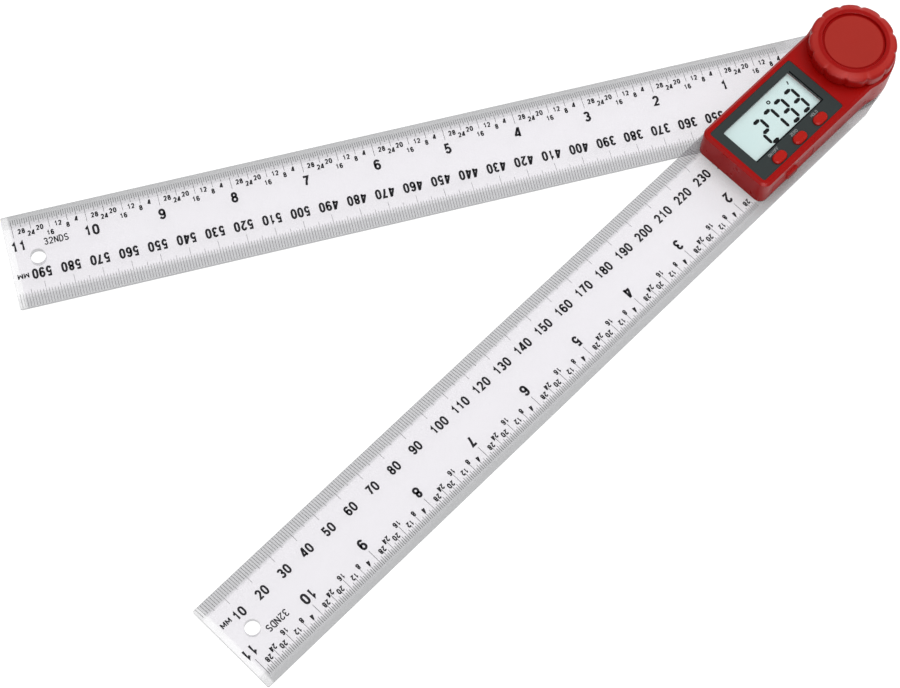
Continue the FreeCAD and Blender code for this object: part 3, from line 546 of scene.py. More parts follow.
# %% the acrylic
# the field's own tint, then the colours of painted shade on the bevel, band and side faces, of the painted
# highlight at the tip, and of the painted wall shade
ACRYLIC_FIELD = seen(196, 189, 202)
ACRYLIC_BEVEL_SHADE = seen(172, 172, 176)
ACRYLIC_BAND_SHADE = seen(162, 163, 165)
ACRYLIC_TIP_HIGHLIGHT = seen(220, 220, 222)
ACRYLIC_SIDE_SHADE = seen(128, 130, 133)
ACRYLIC_SHADE = seen(96, 80, 76)
FIELD_ALPHA = 0.23
BEVEL_ALPHA = 0.42
BAND_ALPHA = 0.5
SIDE_ALPHA = 0.5
SHADE_ALPHA = 0.5
SHADE_REACH = 7 * MM
BEVEL_START = 12.9 * MM
TIP_STRIP = 2.4 * MM
BAND_END = 15.8 * MM


def wall_shade(finish):
    """How much of the sky a top face misses beside a wall, from 0 to about a half."""
    open_sky = finish.node("ShaderNodeAmbientOcclusion", {"samples": 8}, {"Distance": SHADE_REACH})
    face = finish.node("ShaderNodeNewGeometry")
    _, _, upright = finish.apart(face.at("Normal"))
    top = (1 - face.at("Backfacing")) * finish.rise(upright, 0.1, 0.4)
    return (1 - open_sky.at("AO")) * top


def acrylic(name, turn, inch_side, band_start, shaded=False):
    """Clear acrylic with zones along a rule that lies at an angle, its inch edge on one side."""
    finish = Finish(name, Specular_IOR_Level=0.5, IOR=1.49)
    along = finish.node("ShaderNodeMapping", {}, {"Vector": finish.place, "Rotation": (0, 0, -turn)})
    u, v, _ = finish.apart(along)
    across = v * inch_side
    bevel = finish.rise(abs(v), BEVEL_START - 0.2 * MM, BEVEL_START + 0.6 * MM)
    band = finish.rise(across, band_start - 1.6 * MM, band_start + 1.4 * MM)
    band = band * finish.rise(u, BAND_END - 0.2 * MM, BAND_END + 0.2 * MM)
    tip = finish.rise(u, ARM_LENGTH - TIP_STRIP - 0.2 * MM, ARM_LENGTH - TIP_STRIP + 0.2 * MM)
    # painted shade on the bevels and the inch band, and a painted highlight on the tip
    colour = finish.mix(bevel, ACRYLIC_FIELD, ACRYLIC_BEVEL_SHADE)
    colour = finish.mix(band, colour, ACRYLIC_BAND_SHADE)
    colour = finish.mix(tip * 0.7, colour, ACRYLIC_TIP_HIGHLIGHT)
    # painted shade on the side faces, chosen by which way a face turns
    _, _, upright = finish.apart(finish.node("ShaderNodeNewGeometry").at("Normal"))
    side = 1 - finish.rise(abs(upright), 0.25, 0.8)
    colour = finish.mix(side, colour, ACRYLIC_SIDE_SHADE)
    opacity = FIELD_ALPHA + (BEVEL_ALPHA - FIELD_ALPHA) * bevel + (BAND_ALPHA - BEVEL_ALPHA) * band
    opacity = opacity * (1 - 0.3 * tip)
    # painted shade and painted reflection of the housing's wall on the base arm, by how much sky the wall
    # hides
    if shaded:
        shade = wall_shade(finish)
        colour = finish.mix((shade * 2).least(1), colour, ACRYLIC_SHADE)
        opacity = opacity + SHADE_ALPHA * shade
    scratches = finish.noise(0.6 * MM, 3, (0.06, 1, 1))
    finish.set(Base_Color=colour,
               Alpha=opacity + (SIDE_ALPHA - opacity) * side,
               Roughness=0.1 + 0.14 * scratches,
               Normal=finish.bump(scratches, 0.004 * MM))
    return finish.material


base_acrylic = acrylic("base_acrylic", 0, 1, 14.9 * MM, shaded=True)
swing_acrylic = acrylic("swing_acrylic", REST_TURN, -1, 15.5 * MM)
print(f"{len(FINISHES) + 2} finishes")

# %% [markdown]
# ## Parts whose shape is already right
#
# Most inner parts keep the model's own mesh. They only take their finish, chosen by the material
# slot that the model's record gives them.

# %% dress every part of the model
for node, part in NODES.items():
    part.data.materials.clear()
    slot = SLOT_OF[node]
    part.data.materials.append(FINISHES.get(slot, base_acrylic))


# %% [markdown]
# ## Edges that a mould leaves
#
# A part straight from a solid modeller has knife edges, and a knife edge shows no highlight. The
# outer parts are copied, their loose triangles are joined into whole faces, and a small bevel with
# weighted normals rounds what is sharp. The copy stands for the part; the part itself stays in the
# model for the motion.

# %% helpers that finish a mesh and seat it in the model
def shown(name, mesh):
    """An object at the origin with that mesh."""
    made = bpy.data.objects.new(name, mesh)
    bpy.context.scene.collection.objects.link(made)
    return made


def evaluated(piece):
    """The mesh of a piece as its modifiers leave it."""
    graph = bpy.context.evaluated_depsgraph_get()
    return bpy.data.meshes.new_from_object(piece.evaluated_get(graph), depsgraph=graph)


def stand_for(piece, node):
    """The piece replaces that part and moves with its body."""
    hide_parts(node)
    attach(piece, BODY_OF[node])
    print(f"{piece.name}: {len(piece.data.polygons)} faces, rides on {BODY_OF[node]}")


def whole_faces(node, name):
    """A copy of a part's mesh with doubled points merged and flat neighbours joined."""
    merge_distance = 0.002 * MM
    flat_angle = math.radians(0.6)
    mesh = NODES[node].data.copy()
    mesh.name = name
    if "custom_normal" in mesh.attributes:
        mesh.attributes.remove(mesh.attributes["custom_normal"])
    work = bmesh.new()
    work.from_mesh(mesh)
    bmesh.ops.remove_doubles(work, verts=work.verts, dist=merge_distance)
    bmesh.ops.dissolve_limit(work, angle_limit=flat_angle, verts=work.verts, edges=work.edges)
    bmesh.ops.recalc_face_normals(work, faces=work.faces)
    work.to_mesh(mesh)
    work.free()
    return mesh


def softened(node, name, width, finish=None, sharpest=28, steps=3):
    """A copy of a part with its sharp edges rounded, which then stands for the part."""
    piece = shown(name, whole_faces(node, name))
    if finish:
        piece.data.materials.clear()
        piece.data.materials.append(finish)
    bevel = piece.modifiers.new("edges", "BEVEL")
    bevel.limit_method = "ANGLE"
    bevel.angle_limit = math.radians(sharpest)
    bevel.width = width
    bevel.segments = steps
    bevel.miter_outer = "MITER_ARC"
    piece.data.polygons.foreach_set("use_smooth", [True] * len(piece.data.polygons))
    weighted = piece.modifiers.new("normals", "WEIGHTED_NORMAL")
    weighted.keep_sharp = False
    mesh = evaluated(piece)
    piece.modifiers.clear()
    piece.data = mesh
    stand_for(piece, node)


# %% round the outer parts
softened("upper_case", "housing_shell", 0.4 * MM)
softened("lower_case", "housing_floor", 0.15 * MM, steps=2)
softened("battery_drawer", "drawer_moulding", 0.2 * MM)
softened("back_cap", "back_cap_moulding", 0.3 * MM)
softened("display_plate", "display_frame", 0.08 * MM, steps=2)
softened("display_lens", "display_window", 0.05 * MM, steps=2)
softened("base_arm", "base_rule", 0.12 * MM, base_acrylic, sharpest=12, steps=2)
softened("swing_arm", "swing_rule", 0.12 * MM, swing_acrylic, sharpest=12, steps=2)
for button in ("hold", "zero", "power"):
    softened(f"{button}_button", f"{button}_key", 0.25 * MM)


# %% [markdown]
# ## A Geometry Nodes tree in a few lines
#
# The knob, the scale marks and the screws follow a rule, so Geometry Nodes make them. Each tree has
# named inputs for its sizes. They are set on the modifier by the socket's identifier, before the
# object is first evaluated, and the result is turned into a plain mesh that an exporter can read.

# %% a tree with named inputs
class Shape(Graph):
    """A Geometry Nodes tree whose inputs are named and have values."""

    def __init__(self, name, sizes):
        group = bpy.data.node_groups.new(name, "GeometryNodeTree")
        super().__init__(group)
        group.interface.new_socket("Geometry", in_out="OUTPUT", socket_type="NodeSocketGeometry")
        group.interface.new_socket("Geometry", in_out="INPUT", socket_type="NodeSocketGeometry")
        kinds = {int: "NodeSocketInt", float: "NodeSocketFloat"}
        for label, value in sizes.items():
            kind = kinds.get(type(value), "NodeSocketObject")
            group.interface.new_socket(label, in_out="INPUT", socket_type=kind)
        group.interface.new_socket("Material", in_out="INPUT", socket_type="NodeSocketMaterial")
        self.sizes = sizes
        self.given = self.node("NodeGroupInput")

    def size(self, label):
        return self.given.at(label)

    def turned_section(self, steps, radius):
        """Rounds the corners of the section that came in and sweeps it round the Z axis."""
        corner = self.node("GeometryNodeInputRadius")
        rounded = self.node("GeometryNodeFilletCurve", {"mode": "POLY"},
                            {"Curve": self.size("Geometry"), "Count": 5, "Radius": corner,
                             "Limit Radius": True})
        placed = self.node("GeometryNodeTransform", {},
                           {"Geometry": rounded, "Translation": self.joined(0 - radius, 0, 0)})
        path = self.node("GeometryNodeCurvePrimitiveCircle", {"mode": "RADIUS"},
                         {"Resolution": steps, "Radius": radius})
        return self.node("GeometryNodeCurveToMesh", {}, {"Curve": path, "Profile Curve": placed})

    def end(self, geometry):
        """Realizes what was instanced, gives it the material and closes the tree."""
        real = self.node("GeometryNodeRealizeInstances", {}, {"Geometry": geometry})
        dressed = self.node("GeometryNodeSetMaterial", {},
                            {"Geometry": real, "Material": self.size("Material")})
        self.node("NodeGroupOutput", {}, {"Geometry": dressed})

    def grown(self, name, data, material, **changed):
        """An object with the tree on it, its inputs set, made into a plain mesh."""
        piece = shown(name, data)
        modifier = piece.modifiers.new(self.tree.name, "NODES")
        modifier.node_group = self.tree
        values = {**self.sizes, "Material": material}
        values.update({label.replace("_", " "): value for label, value in changed.items()})
        for item in self.tree.interface.items_tree:
            if item.in_out == "INPUT" and values.get(item.name) is not None:
                modifier[item.identifier] = values[item.name]
        mesh = evaluated(piece)
        bpy.data.objects.remove(piece)
        return shown(name, mesh)


# %% [markdown]
# ## The scalloped knob
#
# The knob is a turned shape with a rule on top. Its half section is drawn once, as points with a
# rounding radius each. Geometry Nodes round the corners, sweep the section round the pivot, and then
# push every point inwards where the twelve finger valleys are. The push fades out over the shoulder,
# so the raised ring on top stays round. Modelling twelve lobes by hand would never be as even.

# %% the tree that turns a section and presses valleys into it
def valley_lathe():
    shape = Shape("valley_lathe", {"Steps": 240, "Path Radius": 15.8 * MM, "Valleys": 12,
                                   "Valley Depth": 0.0, "Valley Share": 0.26,
                                   "Fade Start": 13.9 * MM, "Fade End": 15.5 * MM})
    swept = shape.turned_section(shape.size("Steps"), shape.size("Path Radius"))
    place = shape.node("GeometryNodeInputPosition")
    x, y, z = shape.apart(place)
    angle = shape.node("ShaderNodeMath", {"operation": "ARCTAN2"}, {0: y, 1: x})
    from_valley = shape.node("ShaderNodeMath", {"operation": "SINE"},
                             {0: angle * shape.size("Valleys") * 0.5}) / shape.size("Valley Share")
    valley = 1 / (1 + from_valley * from_valley)
    fade = shape.rise(shape.from_axis(place), shape.size("Fade Start"), shape.size("Fade End"))
    kept = 1 - shape.size("Valley Depth") * valley * fade / shape.size("Path Radius")
    pressed = shape.node("GeometryNodeSetPosition", {},
                         {"Geometry": swept, "Position": shape.joined(x * kept, y * kept, z)})
    merged = shape.node("GeometryNodeMergeByDistance", {}, {"Geometry": pressed, "Distance": 1e-6})
    shape.end(shape.node("GeometryNodeSetShadeSmooth", {}, {"Geometry": merged}))
    return shape


def half_section(name, points):
    """A closed section of points (out from the pivot, height, corner radius), all in metres."""
    curve = bpy.data.curves.new(name, "CURVE")
    curve.dimensions = "3D"
    spline = curve.splines.new("POLY")
    spline.points.add(len(points) - 1)
    for place, (out, height, corner) in zip(spline.points, points):
        place.co = (out, -height, 0, 1)
        place.radius = corner
    spline.use_cyclic_u = True
    return curve


def facing_out(piece):
    """Merges what doubles at the poles and turns every face outwards."""
    work = bmesh.new()
    work.from_mesh(piece.data)
    bmesh.ops.remove_doubles(work, verts=work.verts, dist=0.001 * MM)
    bmesh.ops.dissolve_degenerate(work, edges=work.edges, dist=0.0005 * MM)
    bmesh.ops.recalc_face_normals(work, faces=work.faces)
    work.to_mesh(piece.data)
    work.free()
    return piece


# %% the knob and its inlay
KNOB_LOW = lowest("lock_knob").z
KNOB_HIGH = highest("lock_knob").z
KNOB_RADIUS = highest("lock_knob").x
RING_OUTER = KNOB_RADIUS - 2.9 * MM
RING_INNER = RING_OUTER - 1.5 * MM
SHOULDER_LEVEL = KNOB_HIGH - 1.5 * MM
SEAT_LEVEL = lowest("knob_inlay").z
INLAY_LEVEL = highest("knob_inlay").z
CEILING_LEVEL = SEAT_LEVEL - 1.2 * MM
BORE_TOP = SEAT_LEVEL - 0.6 * MM
NUT_TOP = highest("knob_nut").z
NUT_ROOM = 4.7 * MM
BORE_RADIUS = 2.55 * MM
BOSS_RADIUS = 6.4 * MM
SKIRT_INNER = KNOB_RADIUS - 2.35 * MM

lathe = valley_lathe()
knob_section = [
    (SKIRT_INNER, KNOB_LOW, 0.1 * MM), (KNOB_RADIUS, KNOB_LOW, 0.35 * MM),
    (KNOB_RADIUS, SHOULDER_LEVEL, 1.1 * MM), (RING_OUTER, KNOB_HIGH, 0.9 * MM),
    (RING_INNER, KNOB_HIGH, 0.4 * MM), (RING_INNER, SEAT_LEVEL, 0), (0, SEAT_LEVEL, 0),
    (0, BORE_TOP, 0), (BORE_RADIUS, BORE_TOP, 0), (BORE_RADIUS, NUT_TOP, 0), (NUT_ROOM, NUT_TOP, 0),
    (NUT_ROOM, KNOB_LOW, 0.1 * MM), (BOSS_RADIUS, KNOB_LOW, 0.1 * MM),
    (BOSS_RADIUS, CEILING_LEVEL, 0.3 * MM), (SKIRT_INNER, CEILING_LEVEL, 0.3 * MM),
]
knob = lathe.grown("scalloped_knob", half_section("knob_section", knob_section),
                   FINISHES["red_knob"], Path_Radius=KNOB_RADIUS, Valley_Depth=0.75 * MM)
stand_for(facing_out(knob), "lock_knob")

INLAY_EDGE = RING_INNER - 0.06 * MM
inlay_section = [
    (0, SEAT_LEVEL, 0), (INLAY_EDGE, SEAT_LEVEL, 0), (INLAY_EDGE, INLAY_LEVEL - 0.3 * MM, 0.1 * MM),
    (INLAY_PLATEAU + 0.25 * MM, INLAY_LEVEL - 0.24 * MM, 0.1 * MM),
    (INLAY_PLATEAU, INLAY_LEVEL, 0.25 * MM), (0, INLAY_LEVEL, 0),
]
inlay = lathe.grown("knob_inlay_disc", half_section("inlay_section", inlay_section),
                    FINISHES["red_inlay"], Steps=96, Path_Radius=RING_INNER)
stand_for(facing_out(inlay), "knob_inlay")

# %% [markdown]
# ## The screws
#
# Seven screws hold the tool together, four up through the base arm and three through the back cap.
# All are one shape: a section turned round, with a cross pressed into the head by a Boolean. Only
# the places and the length differ. The places come from the model, as the middle of each of its
# separate screws.

# %% the tree that turns a screw and sets copies of it
SCREW_HEAD_RADIUS = 1.6 * MM
SCREW_HEAD_HEIGHT = 0.9 * MM
SCREW_SHANK_RADIUS = 0.8 * MM


def screw_tree():
    shape = Shape("screw_set", {"Places": None, "Cross Length": 2.0 * MM, "Cross Width": 0.42 * MM,
                                "Cross Depth": 0.5 * MM})
    swept = shape.turned_section(36, SCREW_HEAD_RADIUS)
    screw = shape.node("GeometryNodeMergeByDistance", {}, {"Geometry": swept, "Distance": 1e-6})
    deep = shape.size("Cross Depth") * 2
    long, wide = shape.size("Cross Length"), shape.size("Cross Width")
    bars = [shape.node("GeometryNodeMeshCube", {}, {"Size": shape.joined(*size)})
            for size in ((long, wide, deep), (wide, long, deep))]
    cut = shape.node("GeometryNodeMeshBoolean", {"operation": "DIFFERENCE", "solver": "EXACT"},
                     {"Mesh 1": screw, "Mesh 2": bars})
    spots = shape.node("GeometryNodeObjectInfo", {}, {"Object": shape.size("Places")}).at("Geometry")
    shape.end(shape.node("GeometryNodeInstanceOnPoints", {}, {"Points": spots, "Instance": cut}))
    return shape


def middles(node):
    """The middle of each separate solid in a part, at the part's lowest level."""
    work = bmesh.new()
    work.from_mesh(NODES[node].data)
    bmesh.ops.remove_doubles(work, verts=work.verts, dist=0.002 * MM)
    left = set(work.verts)
    found = []
    while left:
        island = [left.pop()]
        for vertex in island:
            joined = {edge.other_vert(vertex) for edge in vertex.link_edges} & left
            left -= joined
            island.extend(joined)
        middle = sum((vertex.co for vertex in island), Vector()) / len(island)
        found.append(Vector((middle.x, middle.y, lowest(node).z)))
    work.free()
    return found


# %% both sets of screws
screws = screw_tree()
for node, name in (("case_screws", "case_screw_set"), ("cap_screws", "cap_screw_set")):
    spots = bpy.data.meshes.new("spots")
    spots.from_pydata(middles(node), [], [])
    places = shown("spots", spots)
    length = highest(node).z - lowest(node).z
    screw_section = [
        (0, 0, 0), (SCREW_HEAD_RADIUS, 0, 0.25 * MM), (SCREW_HEAD_RADIUS, SCREW_HEAD_HEIGHT, 0.1 * MM),
        (SCREW_SHANK_RADIUS, SCREW_HEAD_HEIGHT, 0), (SCREW_SHANK_RADIUS, length - 0.6 * MM, 0),
        (SCREW_SHANK_RADIUS / 2, length, 0), (0, length, 0),
    ]
    screw_set = screws.grown(name, half_section("screw_section", screw_section),
                             FINISHES["steel_screw"], Places=places)
    stand_for(facing_out(screw_set), node)
    bpy.data.objects.remove(places)

# %% [markdown]
# ## The scale marks
#
# Over five hundred marks run along each arm: one for each millimetre, and one for each thirty-second
# of an inch. Every one is the same thin bar of ink, and only its reach changes, with its number. So
# one tree lays out points at the pitch, works out each mark's reach from its index, sets a small box
# on it, and then bends the box over the start of the bevel.

# %% the tree that lays out marks
INK_SINK = 0.012 * MM
INK_STAND = 0.02 * MM
BEVEL_DROP = 1.2 * MM
BEVEL_SLOPE = BEVEL_DROP / (ARM_HALF_WIDTH - BEVEL_START)
MARK_WIDTH = 0.105 * MM
INCH_MARK_WIDTH = 0.14 * MM


def mark_tree(name, every):
    """Marks at a pitch along X. A mark whose number divides by one of every reaches further in."""
    reaches = {f"Reach {step}": 10.0 * MM for step in every}
    shape = Shape(name, {"Count": 10, "Pitch": 1.0 * MM, "First": 0.0, "Skipped": 0, "Side": 1.0,
                         "Outer": 17.3 * MM, "Width": MARK_WIDTH, "Level": 0.0, **reaches})
    index = shape.node("GeometryNodeInputIndex") + shape.size("Skipped")
    line = shape.node("GeometryNodeMeshLine", {"mode": "OFFSET"},
                      {"Count": shape.size("Count"),
                       "Start Location": shape.joined(shape.size("First"), 0, 0),
                       "Offset": shape.joined(shape.size("Pitch"), 0, 0)})
    reach = shape.size(f"Reach {every[0]}") + 0
    for step in every[1:]:
        hit = (index % step) < 0.5
        reach = reach + hit * (shape.size(f"Reach {step}") - reach)
    points = shape.node("GeometryNodeStoreNamedAttribute", {"data_type": "FLOAT", "domain": "POINT"},
                        {"Geometry": line, "Name": "reach", "Value": reach})
    box = shape.node("GeometryNodeMeshCube", {}, {"Size": (1, 1, 1), "Vertices X": 2,
                                                  "Vertices Y": 3, "Vertices Z": 2})
    corner = shape.node("GeometryNodeInputPosition")
    box = shape.node("GeometryNodeStoreNamedAttribute",
                     {"data_type": "FLOAT_VECTOR", "domain": "POINT"},
                     {"Geometry": box, "Name": "corner", "Value": corner})
    placed = shape.node("GeometryNodeInstanceOnPoints", {}, {"Points": points, "Instance": box})
    real = shape.node("GeometryNodeRealizeInstances", {}, {"Geometry": placed})
    inner = shape.node("GeometryNodeInputNamedAttribute", {"data_type": "FLOAT"}, {"Name": "reach"})
    local = shape.node("GeometryNodeInputNamedAttribute", {"data_type": "FLOAT_VECTOR"},
                       {"Name": "corner"})
    across, along, up = shape.apart(local)
    x, _, _ = shape.apart(shape.node("GeometryNodeInputPosition"))
    outer = shape.size("Outer")
    steps_in = along * 2 + 1
    bends = inner < BEVEL_START
    middle = bends * BEVEL_START + (1 - bends) * (outer + inner) / 2
    out = outer + (middle - outer) * steps_in.least(1) + (inner - middle) * (steps_in - 1).most(0)
    level = shape.size("Level") - BEVEL_SLOPE * (out - BEVEL_START).most(0)
    thickness = INK_SINK + INK_STAND
    height = level + (up + 0.5) * thickness - INK_SINK
    spot = shape.joined(x - across + across * shape.size("Width"), out * shape.size("Side"), height)
    shape.end(shape.node("GeometryNodeSetPosition", {}, {"Geometry": real, "Position": spot}))
    return shape


# %% [markdown]
# ## The numerals
#
# The figures are a bold narrow grotesque. Each is one or more strokes on a unit square, drawn with a
# flat pen: straight runs are listed as corners, and bows are arcs of an ellipse. The pen's two edges
# are mitred at the corners and closed into a thin solid. A half turn is all that changes between the
# millimetre figures and the inch figures, which are read from opposite sides of the arm.

# %% strokes of the figures and letters
def bow(x, y, across, up, start, end, steps=7):
    """Points on an ellipse about (x, y) between two angles in degrees."""
    turns = [math.radians(start + (end - start) * step / steps) for step in range(steps + 1)]
    return [(x + across * math.cos(turn), y + up * math.sin(turn)) for turn in turns]


def loop(points):
    """The points, closed back to the first."""
    return points + points[:1]


ROUND = loop(bow(0.5, 0.68, 0.5, 0.32, 180, 0) + bow(0.5, 0.32, 0.5, 0.32, 0, -180))
SIX = [loop(bow(0.5, 0.29, 0.5, 0.29, 0, 330, 11)),
       [(0, 0.3), (0, 0.62)] + bow(0.52, 0.68, 0.52, 0.32, 165, 25)]
STROKES = {
    "0": [ROUND],
    "1": [[(0.6, 0), (0.6, 1), (0.42, 0.84), (0.1, 0.74)]],
    "2": [bow(0.48, 0.71, 0.48, 0.29, 170, -35) + [(0, 0.02), (1, 0.02)]],
    "3": [bow(0.46, 0.76, 0.46, 0.24, 160, -80) + [(0.35, 0.53)],
          bow(0.48, 0.27, 0.5, 0.27, 90, -160)],
    "4": [[(0.8, 0), (0.8, 1), (0.64, 1), (-0.06, 0.28), (-0.06, 0.22), (1.06, 0.22)]],
    "5": [[(0.94, 1), (0.16, 1), (0.08, 0.52)] + bow(0.47, 0.31, 0.51, 0.31, 125, -160)],
    "6": SIX,
    "7": [[(0, 1), (1, 1), (0.6, 0.5), (0.38, 0)]],
    "8": [loop(bow(0.5, 0.76, 0.43, 0.24, 0, 330, 11)), loop(bow(0.5, 0.27, 0.5, 0.27, 0, 330, 11))],
    "9": [[(1 - x, 1 - y) for x, y in stroke] for stroke in SIX],
    "D": [loop([(0, 0), (0, 1), (0.4, 1)] + bow(0.4, 0.5, 0.6, 0.5, 60, -60) + [(0.4, 0)])],
    "E": [[(1, 1), (0, 1), (0, 0), (1, 0)], [(0, 0.52), (0.85, 0.52)]],
    "F": [[(1, 1), (0, 1), (0, 0)], [(0, 0.5), (0.85, 0.5)]],
    "H": [[(0, 0), (0, 1)], [(1, 0), (1, 1)], [(0, 0.52), (1, 0.52)]],
    "L": [[(0, 1), (0, 0), (1, 0)]],
    "M": [[(0, 0), (0, 1)], [(0, 1), (0.5, 0.2)], [(0.5, 0.2), (1, 1)], [(1, 1), (1, 0)]],
    "N": [[(0, 0), (0, 1)], [(0, 1), (1, 0)], [(1, 0), (1, 1)]],
    "O": [ROUND],
    "R": [[(0, 0), (0, 1), (0.5, 1)] + bow(0.5, 0.76, 0.46, 0.24, 60, -60) + [(0.5, 0.52), (0, 0.52)],
          [(0.5, 0.52), (1, 0)]],
    "S": [bow(0.5, 0.75, 0.48, 0.25, 25, 270) + bow(0.5, 0.26, 0.5, 0.25, 60, -155)],
    "Z": [[(0, 1), (1, 1)], [(1, 1), (0, 0)], [(0, 0), (1, 0)]],
    "/": [[(0.2, -0.1), (0.8, 1.1)]],
    "+": [[(0, 0.5), (1, 0.5)], [(0.5, 0), (0.5, 1)]],
}


# %% a pen that turns strokes into thin solids
BLUNTEST_MITRE = 0.55
PEN_SHARE = 0.195
LETTER_SHARE = 0.88


def pen_strip(work, stroke, pen, low, high):
    """Adds one stroke to a mesh as a closed strip: four corners at each place, joined along."""
    closed = stroke[0] == stroke[-1]
    places = [Vector(place) for place in (stroke[:-1] if closed else stroke)]
    gaps = [(after - here).normalized() for here, after in zip(places, places[1:] + places[:1])]
    rings = []
    for here, place in enumerate(places):
        leaving = gaps[here] if closed or here < len(places) - 1 else gaps[here - 1]
        arriving = gaps[here - 1] if closed or here else leaving
        outwards = Vector((-arriving.y - leaving.y, arriving.x + leaving.x)).normalized()
        straight_on = outwards.x * -arriving.y + outwards.y * arriving.x
        edge = outwards * pen / 2 / max(straight_on, BLUNTEST_MITRE)
        corners = ((place + edge, low), (place - edge, low), (place - edge, high), (place + edge, high))
        rings.append([work.verts.new((corner.x, corner.y, level)) for corner, level in corners])
    for here in range(len(rings) if closed else len(rings) - 1):
        this, after = rings[here], rings[(here + 1) % len(rings)]
        for side in range(4):
            other = (side + 1) % 4
            work.faces.new((this[side], this[other], after[other], after[side]))
    if not closed:
        work.faces.new(rings[0][::-1])
        work.faces.new(rings[-1])


def outward_mesh(work, name):
    """A mesh of the work with every face turned outwards. The work is freed."""
    bmesh.ops.recalc_face_normals(work, faces=work.faces)
    mesh = bpy.data.meshes.new(name)
    work.to_mesh(mesh)
    work.free()
    return mesh


class Print:
    """A sheet of ink on one part: words, marks and bars gathered into one mesh."""

    def __init__(self):
        self.work = bmesh.new()
        self.cut = {}

    def stamp(self, mesh, matrix):
        copy = mesh.copy()
        copy.transform(matrix)
        self.work.from_mesh(copy)
        bpy.data.meshes.remove(copy)

    def letter(self, letter, tall, wide, pen):
        """One letter centred on the origin, made once for each size."""
        key = (letter, tall, wide, pen)
        if key not in self.cut:
            work = bmesh.new()
            for stroke in STROKES[letter]:
                scaled = [((x - 0.5) * (wide - pen), (y - 0.5) * (tall - pen)) for x, y in stroke]
                pen_strip(work, scaled, pen, -INK_SINK, INK_STAND)
            self.cut[key] = outward_mesh(work, "letter")
        return self.cut[key]

    def words(self, words, tall, step, x, y, level, turn=0.0, pen_share=PEN_SHARE):
        """Letters a step apart and tall high, centred at a place and turned."""
        place = Matrix.Translation((x, y, level)) @ Matrix.Rotation(turn, 4, "Z")
        for here, letter in enumerate(words):
            shift = Matrix.Translation(((here - (len(words) - 1) / 2) * step, 0, 0))
            self.stamp(self.letter(letter, tall, LETTER_SHARE * step, pen_share * tall), place @ shift)

    def finished(self, name, material, body, turn=0.0):
        """The sheet as one piece that rides on a body, turned about the pivot."""
        mesh = bpy.data.meshes.new(name)
        self.work.to_mesh(mesh)
        self.work.free()
        mesh.transform(Matrix.Rotation(turn, 4, "Z"))
        mesh.materials.clear()
        mesh.materials.append(material)
        mesh.polygons.foreach_set("material_index", [0] * len(mesh.polygons))
        mesh.polygons.foreach_set("use_smooth", [False] * len(mesh.polygons))
        piece = shown(name, mesh)
        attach(piece, body)
        print(f"{name}: {len(mesh.polygons)} faces of ink")


# %% [markdown]
# ## What is printed on each arm
#
# Both arms carry millimetres on one edge and inches on the other. On the base arm the millimetres
# count back from the tip; on the swing arm they count on from 300 at the pivot, so that the two arms
# laid straight are one 600 mm rule. The inch scale starts a little way out from the pivot and has
# its own small figures for the thirty-seconds.

# %% the layout that the arms share
INCH = 25.4 * MM
INCH_ZERO = 17.46 * MM
THIRTY_SECOND = INCH / 32
MM_REACHES = (1, 5, 10)
INCH_REACHES = (1, 2, 4, 8, 16, 32)
BIG_PEN_SHARE = 0.2
SMALL_PEN_SHARE = 0.22
WORD_PEN_SHARE = 0.15
LABEL_STEP = 2.35 * MM
# the height of these figures, and the step from one to the next
INCH_FIGURE = mm(4.1, 2.75)
SMALL_FIGURE = mm(2.05, 1.35)
UNIT_WORD = mm(2.2, 2.1)
HALF_TURN = math.pi


def ink(name):
    """Screen-printed black: nearly matt, a little thin in places."""
    finish = Finish(name, Specular_IOR_Level=0.3)
    thin = finish.noise(0.8 * MM, 2)
    finish.set(Base_Color=finish.mix(thin, seen(24, 24, 27), seen(46, 46, 50)),
               Roughness=0.5 + 0.2 * thin)
    return finish.material


arm_ink = ink("arm_ink")
millimetre_marks = mark_tree("millimetre_marks", MM_REACHES)
inch_marks = mark_tree("inch_marks", INCH_REACHES)


def grown_marks(sheet, tree, **sizes):
    """Marks from a tree, moved onto a sheet of print."""
    piece = tree.grown("marks", bpy.data.meshes.new("marks"), arm_ink, **sizes)
    sheet.stamp(piece.data, Matrix.Identity(4))
    bpy.data.objects.remove(piece)


def inch_side(sheet, side, level, turn, first_along, rows, shift, outer, reaches, nudges):
    """Inch marks, inch figures and the figures of thirty-seconds along one edge."""
    first = math.ceil((first_along - INCH_ZERO) / THIRTY_SECOND)
    count = 32 * 11 - first + 1
    grown_marks(sheet, inch_marks, Count=count, Pitch=THIRTY_SECOND, Skipped=first,
                First=INCH_ZERO + first * THIRTY_SECOND, Side=side, Outer=outer, Level=level,
                Width=INCH_MARK_WIDTH,
                **{f"Reach_{step}": reach for step, reach in zip(INCH_REACHES, reaches)})
    big_row, low_row, middle_row, high_row = rows
    small_rows = {4: low_row, 12: low_row, 20: low_row, 28: low_row,
                  8: middle_row, 24: middle_row, 16: high_row}
    for inch in range(12):
        along = INCH_ZERO + inch * INCH
        if inch and along > first_along:
            sheet.words(str(inch), *INCH_FIGURE, along - nudges.get(inch, 0), side * big_row,
                        level, turn, BIG_PEN_SHARE)
        for part, row in small_rows.items():
            spot = along + part * THIRTY_SECOND
            if first_along < spot < ARM_LENGTH - TIP_STRIP:
                sheet.words(str(part), *SMALL_FIGURE, spot + shift, side * row, level, turn,
                            SMALL_PEN_SHARE)


